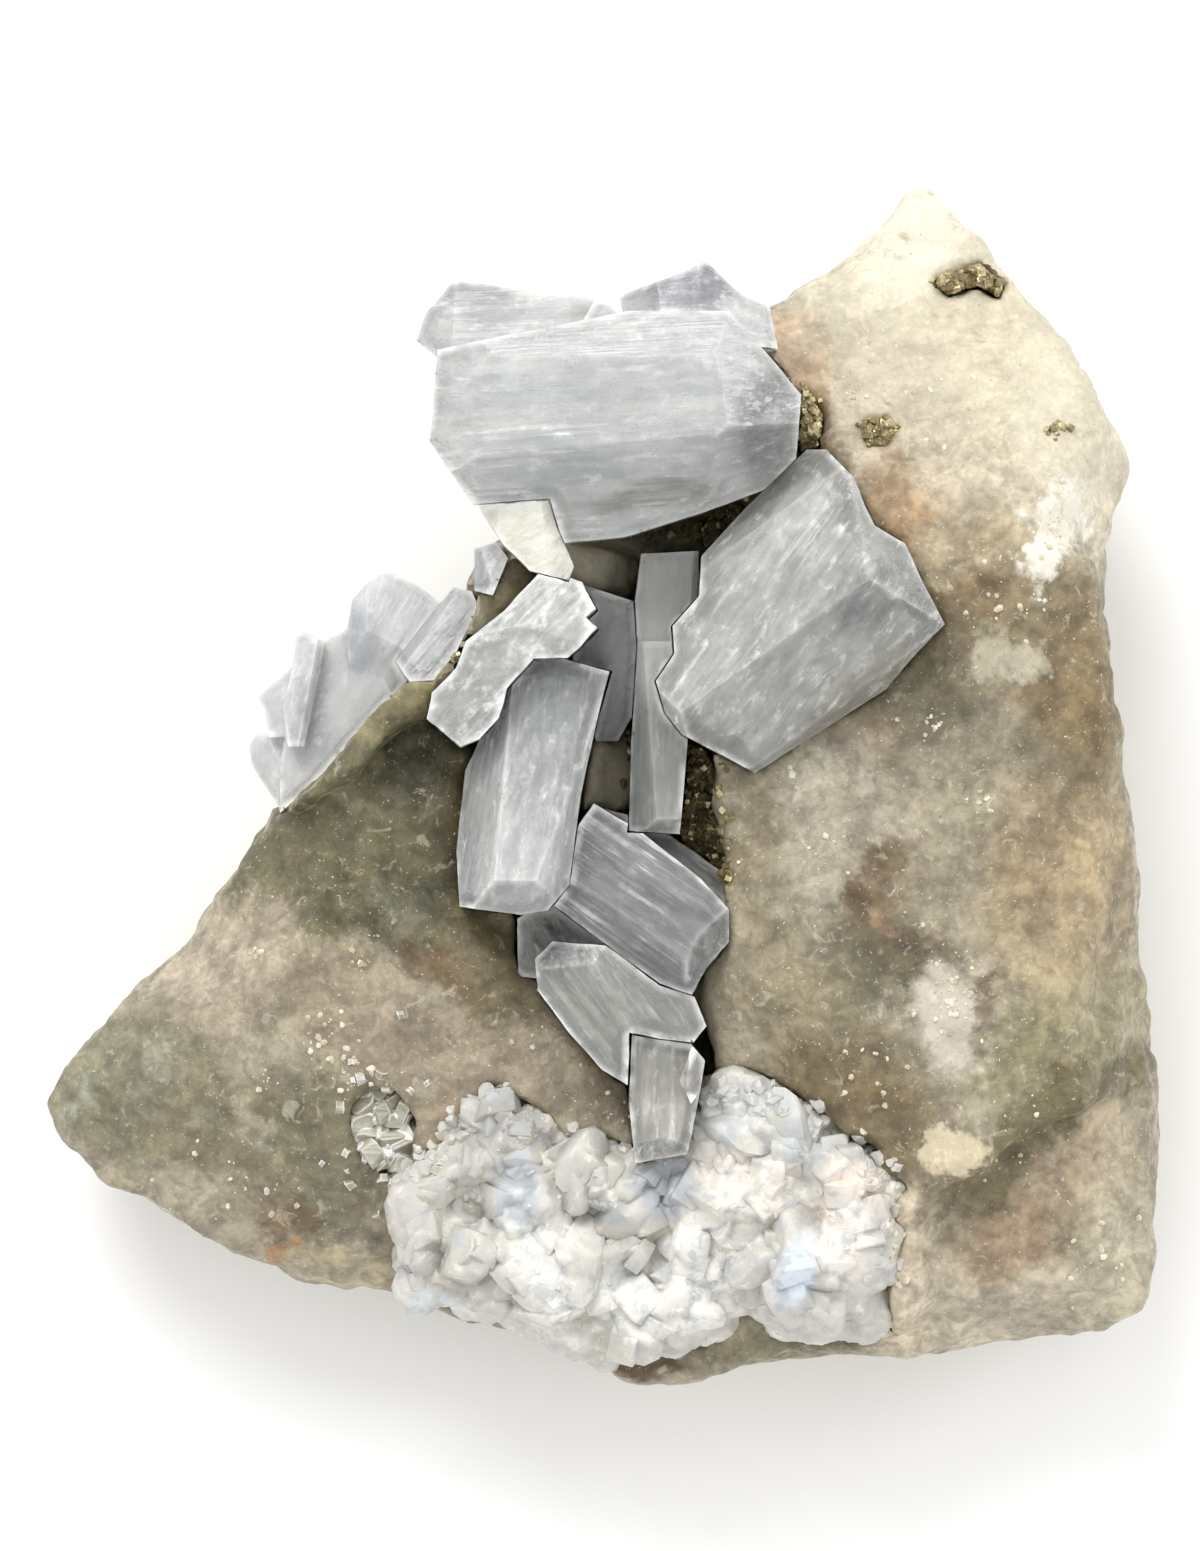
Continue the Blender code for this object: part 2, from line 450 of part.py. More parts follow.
def make_crystals():
    """All crystals, each one cut clear of those that stand in front of it.

    Returns their outlines and roots, which the matrix is hollowed out for.
    """
    groups = [
        ("cream_wedge", [CREAM_WEDGE]),
        ("block_crystal", [BLOCK_CRYSTAL]),
        ("top_crystals", [TABLET, BACK_TABLET, WEDGE_BEHIND, HIND_CRYSTAL]),
        ("ridge_crystal", [RIDGE_CRYSTAL]),
        ("left_prism", [LEFT_PRISM]),
        ("end_prism", [END_PRISM, SPLINTER]),
        ("blade_crystal", [BLADE_TOP, BLADE_FOOT]),
        ("slant_prism", [SLANT_PRISM, SLANT_SHADOW]),
        ("lower_prism", [LOWER_PRISM, GAP_CRYSTAL]),
        ("rear_blade", [REAR_BLADE]),
        ("rim_tablet", [RIM_TABLET]),
        ("rim_point", [RIM_POINT]),
        ("side_crystals", [SIDE_TABLET, SIDE_PANE, SIDE_SPAR, SIDE_STUB, SIDE_TOE])]
    finishes = {
        "cream_wedge": (CREAM, 0.45, 0.0), "ridge_crystal": (MILK_BLUE, 0.4, 0.2),
        "top_crystals": (MILK_BLUE, 0.25, 0.4), "rear_blade": (DEEP_BLUE, 0.2, 0.6),
        "blade_crystal": (DEEP_BLUE, 0.2, 0.6), "side_crystals": (MILK_BLUE, 0.3, 0.4)}
    beds = []
    for name, shapes in groups:
        thing = crystal(name, shapes[0])
        for shape in shapes[1:]:
            combine(thing, crystal("part", shape), "UNION")
        for outline, root in beds:
            combine(thing, cutter(outline, root), "DIFFERENCE")
        keep_main_body(thing)
        colour, roughness, transmission = finishes.get(name, (CLEAR_BLUE, 0.2, 0.5))
        thing.data.materials.append(finish_material(name, colour, roughness, 0.0, transmission))
        beds += [(shape[0], shape[1]) for shape in shapes]
    return beds


def lump(middle, top, half, dice, evenness=0.75):
    """One blocky crystal, turned at random, with its highest corner at the top."""
    mesh = bmesh.new()
    sides = [2.0 * half * dice.uniform(evenness, 2.0 - evenness) for _ in range(3)]
    turn = Matrix.Rotation(dice.uniform(0.0, math.pi), 3, "Z")
    axis = Vector((dice.uniform(-1.0, 1.0), dice.uniform(-1.0, 1.0), 0.2))
    lean = Matrix.Rotation(dice.uniform(0.3, 1.1), 3, axis)
    bmesh.ops.create_cube(mesh, size=1.0)
    bmesh.ops.scale(mesh, vec=[side * MM for side in sides], verts=mesh.verts)
    bmesh.ops.rotate(mesh, matrix=lean @ turn, verts=mesh.verts)
    highest = max(vertex.co.z for vertex in mesh.verts)
    shift = Vector((middle[0] * MM, middle[1] * MM, top * MM - highest))
    bmesh.ops.translate(mesh, vec=shift, verts=mesh.verts)
    return mesh


def merge_meshes(meshes, name):
    """Several meshes as one object."""
    whole = bpy.data.meshes.new(name)
    gathered = bmesh.new()
    for mesh in meshes:
        part = bpy.data.meshes.new("part")
        mesh.to_mesh(part)
        mesh.free()
        gathered.from_mesh(part)
        bpy.data.meshes.remove(part)
    gathered.to_mesh(whole)
    gathered.free()
    thing = bpy.data.objects.new(name, whole)
    bpy.context.scene.collection.objects.link(thing)
    return thing


def reduce_to(thing, triangles):
    """Thins a mesh to about so many triangles."""
    thing.data.calc_loop_triangles()
    ratio = min(1.0, triangles / len(thing.data.loop_triangles))
    apply_modifier(thing, "DECIMATE", ratio=ratio)


def make_crust(beds):
    """The lumpy white crust: grown-together blocks, clipped to its own outline."""
    dice = random.Random(CRUST_SEED)
    reach = shifted_outline(CRUST_OUTLINE, CRUST_MARGIN)
    inner = shifted_outline(CRUST_OUTLINE, -CRUST_MARGIN)
    meshes = [prism_mesh(inner, CRUST_FLOOR - 2.0, CRUST_BED_TOP)]
    meshes += [lump(middle, top, half, dice) for middle, top, half in CRUST_LUMPS]
    crust = merge_meshes(meshes, "barite_crust")
    apply_modifier(crust, "REMESH", mode="VOXEL", voxel_size=CRUST_VOXEL * MM)
    apply_modifier(crust, "SMOOTH", factor=0.5, iterations=2)
    reduce_to(crust, CRUST_TRIANGLES)
    combine(crust, place(prism_mesh(reach, CRUST_FLOOR, SKY), "clip"), "INTERSECT")
    for outline, root in beds:
        combine(crust, cutter(outline, root), "DIFFERENCE")
    keep_main_body(crust)
    crust.data.materials.append(finish_material("barite_crust", WHITE_CRUST, 0.45, 0.0, 0.1))
    beds.append((reach, CRUST_FLOOR))


def cube_bed(name, outline, floor, top, size, seed, beds):
    """Small cubes grown together on a floor, kept inside an outline."""
    dice = random.Random(seed)
    bed = place(prism_mesh(shifted_outline(outline, GAP), floor - 1.0, top - size), name)
    xs = [x for x, _ in outline]
    ys = [y for _, y in outline]
    step = size * CUBE_SPACING
    columns = max(1, round((max(xs) - min(xs)) / step))
    rows = max(1, round((max(ys) - min(ys)) / step))
    cubes = None
    for column in range(columns + 1):
        for row in range(rows + 1):
            x = min(xs) + column * step + dice.uniform(-0.3, 0.3) * size
            y = min(ys) + row * step + dice.uniform(-0.3, 0.3) * size
            mesh = lump((x, y), top + dice.uniform(-0.45, 0.1) * size, size * 0.62, dice, 0.92)
            cube = place(mesh, "cube")
            if cubes is None:
                cubes = cube
            else:
                combine(cubes, cube, "UNION")
    combine(bed, cubes, "UNION")
    clip = place(prism_mesh(outline, floor, SKY), "clip")
    combine(bed, clip, "INTERSECT")
    for other, root in beds:
        combine(bed, cutter(other, root), "DIFFERENCE")
    keep_main_body(bed)
    beds.append((outline, floor))
    return bed


def make_cube_beds(beds):
    """The hollow's small crystals and the pyrite, each bed one grown-together piece."""
    hollow = cube_bed(
        "hollow_crystals", HOLLOW_OUTLINE, HOLLOW_FLOOR, HOLLOW_TOP, HOLLOW_CUBE, HOLLOW_SEED, beds)
    hollow.data.materials.append(finish_material("hollow_crystals", MILK_BLUE, 0.3, 0.0, 0.3))
    for name, (outline, floor, top, seed) in PYRITE_BEDS.items():
        bed = cube_bed(name, outline, floor, top, PYRITE_CUBE, seed, beds)
        bed.data.materials.append(finish_material(name, GOLD, 0.3, 1.0))


def roughen(thing, name, size, strength):
    """Pushes the surface in and out along a cloud pattern of one size."""
    clouds = bpy.data.textures.new(name, "CLOUDS")
    clouds.noise_scale = size * MM
    clouds.noise_depth = 2
    apply_modifier(
        thing, "DISPLACE", texture=clouds, texture_coords="LOCAL", strength=strength * MM, mid_level=0.5)


def make_matrix(beds):
    """The broken matrix: fused masses, weathered, hollowed out for what grows on it."""
    dice = random.Random(FOOT_SEED)
    widest = shifted_outline(FOOT_OUTLINE, ROCK_ALLOWANCE)
    middle = Vector(FOOT_MIDDLE)
    drawn_in = []
    for corner in widest:
        inwards = (middle - corner).normalized()
        drawn_in.append(corner + inwards * dice.uniform(*FOOT_UNDERCUT))
    meshes = [prism_mesh(widest, -FOOT_TRIM, FOOT_HEIGHT, drawn_in)]
    for outline, faces in MASSES:
        mesh = prism_mesh(shifted_outline(outline, ROCK_ALLOWANCE), FOOT_HEIGHT - ROCK_OVERLAP, SKY)
        for face in faces:
            trim(mesh, face)
        meshes.append(mesh)
    matrix = merge_meshes(meshes, "matrix")
    apply_modifier(matrix, "REMESH", mode="VOXEL", voxel_size=ROCK_VOXEL * MM)
    apply_modifier(matrix, "SMOOTH", factor=0.5, iterations=5)
    roughen(matrix, "swells", *ROCK_SWELLS)
    roughen(matrix, "knobs", *ROCK_KNOBS)
    reduce_to(matrix, ROCK_TRIANGLES)
    mesh = bmesh.new()
    mesh.from_mesh(matrix.data)
    trim(mesh, ((0.0, 0.0), 0.0, 0.0, 180.0))
    mesh.to_mesh(matrix.data)
    mesh.free()
    for outline, root in beds:
        combine(matrix, cutter(outline, root), "DIFFERENCE")
    keep_main_body(matrix)
    matrix.data.materials.append(finish_material("matrix", ROCK_COLOUR, 0.65))


def centre_footprint():
    """Moves the specimen so that the middle of its footprint is the origin."""
    corners = [vertex.co for thing in bpy.data.objects for vertex in thing.data.vertices]
    middle = Vector()
    for axis in range(2):
        values = [corner[axis] for corner in corners]
        middle[axis] = (min(values) + max(values)) / 2.0
    for thing in bpy.data.objects:
        thing.data.transform(Matrix.Translation(-middle))


def main():
    start_empty()
    beds = make_crystals()
    make_crust(beds)
    make_cube_beds(beds)
    make_matrix(beds)
    centre_footprint()


main()
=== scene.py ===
"""Looks of the blue barite specimen: milky glassy crystals, sugary white crust,
waxy stained rock, brassy cubes and scattered grains, laid on a pale floor.

Places are (x, y) in millimetres, seen from above, in the part's own frame.
"""
import math
import random

import bpy
from mathutils import Matrix, Vector
from mathutils.bvhtree import BVHTree


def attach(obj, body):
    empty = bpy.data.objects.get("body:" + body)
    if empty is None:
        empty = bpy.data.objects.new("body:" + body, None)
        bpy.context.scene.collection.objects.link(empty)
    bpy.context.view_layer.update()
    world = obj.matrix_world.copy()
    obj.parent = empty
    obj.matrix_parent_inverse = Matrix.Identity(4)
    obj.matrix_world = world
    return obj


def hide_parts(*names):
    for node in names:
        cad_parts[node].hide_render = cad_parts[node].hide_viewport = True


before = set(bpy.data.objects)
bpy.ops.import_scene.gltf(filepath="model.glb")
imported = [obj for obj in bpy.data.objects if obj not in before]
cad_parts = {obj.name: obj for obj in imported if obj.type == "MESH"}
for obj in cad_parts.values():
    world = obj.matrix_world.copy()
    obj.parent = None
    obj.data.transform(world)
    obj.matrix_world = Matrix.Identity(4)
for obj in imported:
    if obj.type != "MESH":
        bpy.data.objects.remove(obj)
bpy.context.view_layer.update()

MM = 0.001
WELD = 0.00001

# The view from straight above: middle of the picture, height of the plane in focus and
# the height of the picture on that plane
VIEW_MIDDLE = (-0.2, 0.5)
VIEW_PLANE = 17.0
VIEW_HEIGHT = 103.4
LENS = 400.0
SENSOR = 36.0

# Voxels, relief sizes and depths, in millimetres
ROCK_VOXEL = 0.42
ROCK_SWELL = 0.2
CRYSTAL_SWELL = 0.14
HEART_STEPS = 2
CRUST_VOXEL = 0.26
FOOT_BAND = 2.0

# Finishes in sRGB, from 0 to 255
FLOOR_WHITE = (250, 250, 249)
ROCK_BEIGE = (168, 158, 136)
CRUST_WHITE = (198, 194, 185)
BRASS = (210, 196, 156)


def linear(colour):
    """A colour from 0 to 255 as linear red, green, blue and alpha."""
    values = []
    for part in colour:
        share = part / 255.0
        values.append(share / 12.92 if share <= 0.04045 else ((share + 0.055) / 1.055) ** 2.4)
    return (*values, 1.0)


def only(piece):
    """Makes one piece the only one selected, and the active one."""
    bpy.ops.object.select_all(action="DESELECT")
    piece.select_set(True)
    bpy.context.view_layer.objects.active = piece


def in_edit(piece, *steps):
    """Runs edit-mode steps on everything in one piece."""
    only(piece)
    bpy.ops.object.mode_set(mode="EDIT")
    bpy.ops.mesh.select_all(action="SELECT")
    for step in steps:
        step()
    bpy.ops.object.mode_set(mode="OBJECT")


def modify(piece, kind, **settings):
    """Adds one modifier with its settings and applies it."""
    only(piece)
    modifier = piece.modifiers.new(kind.title(), kind)
    for key, value in settings.items():
        setattr(modifier, key, value)
    bpy.ops.object.modifier_apply(modifier=modifier.name)


def solid_copy(node, name):
    """The CAD solid of one node as a welded mesh of its own."""
    piece = bpy.data.objects.new(name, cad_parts[node].data.copy())
    bpy.context.scene.collection.objects.link(piece)
    only(piece)
    bpy.ops.mesh.customdata_custom_splitnormals_clear()
    in_edit(piece, lambda: bpy.ops.mesh.remove_doubles(threshold=WELD))
    return piece


def voxels(piece, size, smoothing):
    """Turns a piece into an even fine mesh with softened edges."""
    modify(piece, "REMESH", mode="VOXEL", voxel_size=size * MM)
    if smoothing:
        modify(piece, "SMOOTH", factor=0.5, iterations=smoothing)


def relief(piece, kind, size, depth, group="", turn=None, stretch=(1.0, 1.0, 1.0), **details):
    """Pushes the surface in and out along a pattern; a stretched one runs along its turn."""
    pattern = bpy.data.textures.new(f"{piece.name}_{kind.lower()}", kind)
    pattern.noise_scale = size * MM
    for key, value in details.items():
        setattr(pattern, key, value)
    settings = {"texture": pattern, "strength": depth * MM, "mid_level": 0.5, "vertex_group": group}
    if turn is None:
        modify(piece, "DISPLACE", texture_coords="LOCAL", **settings)
        return
    bpy.ops.object.empty_add(location=(0.0, 0.0, 0.0), rotation=[math.radians(a) for a in turn])
    guide = bpy.context.active_object
    guide.scale = stretch
    bpy.context.view_layer.update()
    modify(piece, "DISPLACE", texture_coords="OBJECT", texture_coords_object=guide, **settings)
    bpy.data.objects.remove(guide, do_unlink=True)


def dress(piece, *materials):
    """Gives a piece its finishes and nothing else."""
    while piece.data.materials:
        piece.data.materials.pop(index=0)
    for material in materials:
        piece.data.materials.append(material)


def finish_piece(piece, slot, material, *nodes, angle=35.0):
    """Gives a piece its finish, smooth shading and its place in the part."""
    if material:
        dress(piece, material)
    only(piece)
    bpy.ops.object.shade_smooth_by_angle(angle=math.radians(angle))
    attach(piece, "root")
    if nodes:
        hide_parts(*nodes)
    return piece


class Finish:
    """A Principled material that is built up node by node."""

    def __init__(self, name, roughness=0.5, ior=1.5, transmission=0.0, metallic=0.0):
        self.material = bpy.data.materials.new(name)
        self.material.use_nodes = True
        self.nodes = self.material.node_tree.nodes
        self.links = self.material.node_tree.links
        self.shader = self.nodes["Principled BSDF"]
        self.shader.inputs["Roughness"].default_value = roughness
        self.shader.inputs["IOR"].default_value = ior
        self.shader.inputs["Transmission Weight"].default_value = transmission
        self.shader.inputs["Metallic"].default_value = metallic
        self.place = self.nodes.new("ShaderNodeTexCoord").outputs["Object"]

    def put(self, kind, settings=None, **inputs):
        """A node with its settings; an input is a value or another node's output."""
        node = self.nodes.new("ShaderNode" + kind)
        for key, value in (settings or {}).items():
            setattr(node, key, value)
        for key, value in inputs.items():
            socket = node.inputs[key.replace("_", " ")]
            if isinstance(value, bpy.types.NodeSocket):
                self.links.new(value, socket)
            else:
                socket.default_value = value
        return node

    def millimetres(self, turn=(0.0, 0.0, 0.0), size=(1.0, 1.0, 1.0), middle=(0.0, 0.0, 0.0)):
        """Object coordinates in millimetres, centred, turned and stretched."""
        return self.put(
            "Mapping", {"vector_type": "TEXTURE"}, Vector=self.place,
            Location=[part * MM for part in middle], Rotation=[math.radians(a) for a in turn],
            Scale=[part * MM for part in size]).outputs["Vector"]

    def noise(self, vector, scale, detail=4.0, roughness=0.55, distortion=0.0):
        return self.put(
            "TexNoise", Vector=vector, Scale=scale, Detail=detail, Roughness=roughness,
            Distortion=distortion).outputs["Fac"]

    def cells(self, vector, scale, feature="F1", randomness=1.0):
        return self.put(
            "TexVoronoi", {"feature": feature}, Vector=vector, Scale=scale,
            Randomness=randomness).outputs["Distance"]

    def between(self, value, low, high, to_low=0.0, to_high=1.0):
        """A value stretched from one range to another, with soft ends."""
        node = self.put("MapRange", {"interpolation_type": "SMOOTHSTEP"}, Value=value)
        for key, number in (("From Min", low), ("From Max", high), ("To Min", to_low), ("To Max", to_high)):
            node.inputs[key].default_value = number
        return node.outputs["Result"]

    def times(self, first, second, operation="MULTIPLY"):
        node = self.put("Math", {"operation": operation})
        for socket, value in zip(node.inputs, (first, second)):
            if isinstance(value, bpy.types.NodeSocket):
                self.links.new(value, socket)
            else:
                socket.default_value = value
        return node.outputs["Value"]

    def blend(self, factor, first, second, kind="MIX"):
        """Two colours mixed; a plain colour is given from 0 to 255."""
        node = self.nodes.new("ShaderNodeMix")
        node.data_type = "RGBA"
        node.blend_type = kind
        for socket, value in ((node.inputs[0], factor), (node.inputs[6], first), (node.inputs[7], second)):
            if isinstance(value, bpy.types.NodeSocket):
                self.links.new(value, socket)
            elif isinstance(value, float):
                socket.default_value = value
            else:
                socket.default_value = linear(value)
        return node.outputs[2]

    def wander(self, vector, scale, reach, start=None):
        """Coordinates pushed about by noise, so that edges of patches look grown."""
        push = self.put("TexNoise", Vector=vector, Scale=scale, Detail=4.0, Roughness=0.6).outputs["Color"]
        centred = self.put("VectorMath", {"operation": "SUBTRACT"})
        self.links.new(push, centred.inputs[0])
        centred.inputs[1].default_value = (0.5, 0.5, 0.5)
        scaled = self.put("VectorMath", {"operation": "SCALE"}, Scale=reach * MM)
        self.links.new(centred.outputs[0], scaled.inputs[0])
        moved = self.put("VectorMath", {"operation": "ADD"})
        self.links.new(start or self.place, moved.inputs[0])
        self.links.new(scaled.outputs[0], moved.inputs[1])
        return moved.outputs[0]

    def shaded(self, colour, factor):
        """A colour made darker or lighter by a factor."""
        node = self.put("VectorMath", {"operation": "SCALE"})
        self.links.new(colour, node.inputs[0])
        self.links.new(factor, node.inputs["Scale"])
        return node.outputs[0]

    def edges(self, reach):
        """How near a sharp outer edge is, for chipped edges and their painted highlight: 1 on the edge itself.
        """
        inwards = {"samples": 2, "inside": True, "only_local": True}
        depth = self.put("AmbientOcclusion", inwards, Distance=reach * MM)
        return self.between(depth.outputs["AO"], 0.98, 0.6)

    def facing(self, direction, low, high, to_low, to_high):
        """A factor that follows which way a face looks; on the crystals it paints their faces lighter or darker
        as if lit from one side.
        """
        way = self.put("NewGeometry").outputs["True Normal"]
        node = self.put("VectorMath", {"operation": "DOT_PRODUCT"})
        self.links.new(way, node.inputs[0])
        node.inputs[1].default_value = Vector(direction).normalized()
        return self.between(node.outputs["Value"], low, high, to_low, to_high)

    def patches(self, colour, place, zones):
        """Lays soft oval patches over a colour: middle, half sizes, turn, colour, strength."""
        for middle, half, turn, tint, strength, *soft in zones:
            oval = self.put(
                "Mapping", {"vector_type": "TEXTURE"}, Vector=place,
                Location=(middle[0] * MM, middle[1] * MM, 0.0), Rotation=(0.0, 0.0, math.radians(turn)),
                Scale=(half[0] * MM, half[1] * MM, 1.0)).outputs["Vector"]
            fall = self.put("TexGradient", {"gradient_type": "SPHERICAL"}, Vector=oval).outputs["Fac"]
            share = self.between(fall, 0.0, soft[0] if soft else 0.55, 0.0, strength)
            colour = self.blend(share, colour, tint)
        return colour

    def bump(self, height, strength, depth, normal=None):
        node = self.put("Bump", Height=height, Strength=strength, Distance=depth * MM)
        if normal is not None:
            self.links.new(normal, node.inputs["Normal"])
        return node.outputs["Normal"]

    def colour(self, socket):
        self.links.new(socket, self.shader.inputs["Base Color"])

    def clear(self, socket):
        self.links.new(socket, self.shader.inputs["Transmission Weight"])

    def rough(self, socket):
        self.links.new(socket, self.shader.inputs["Roughness"])

    def surface(self, socket):
        self.links.new(socket, self.shader.inputs["Normal"])


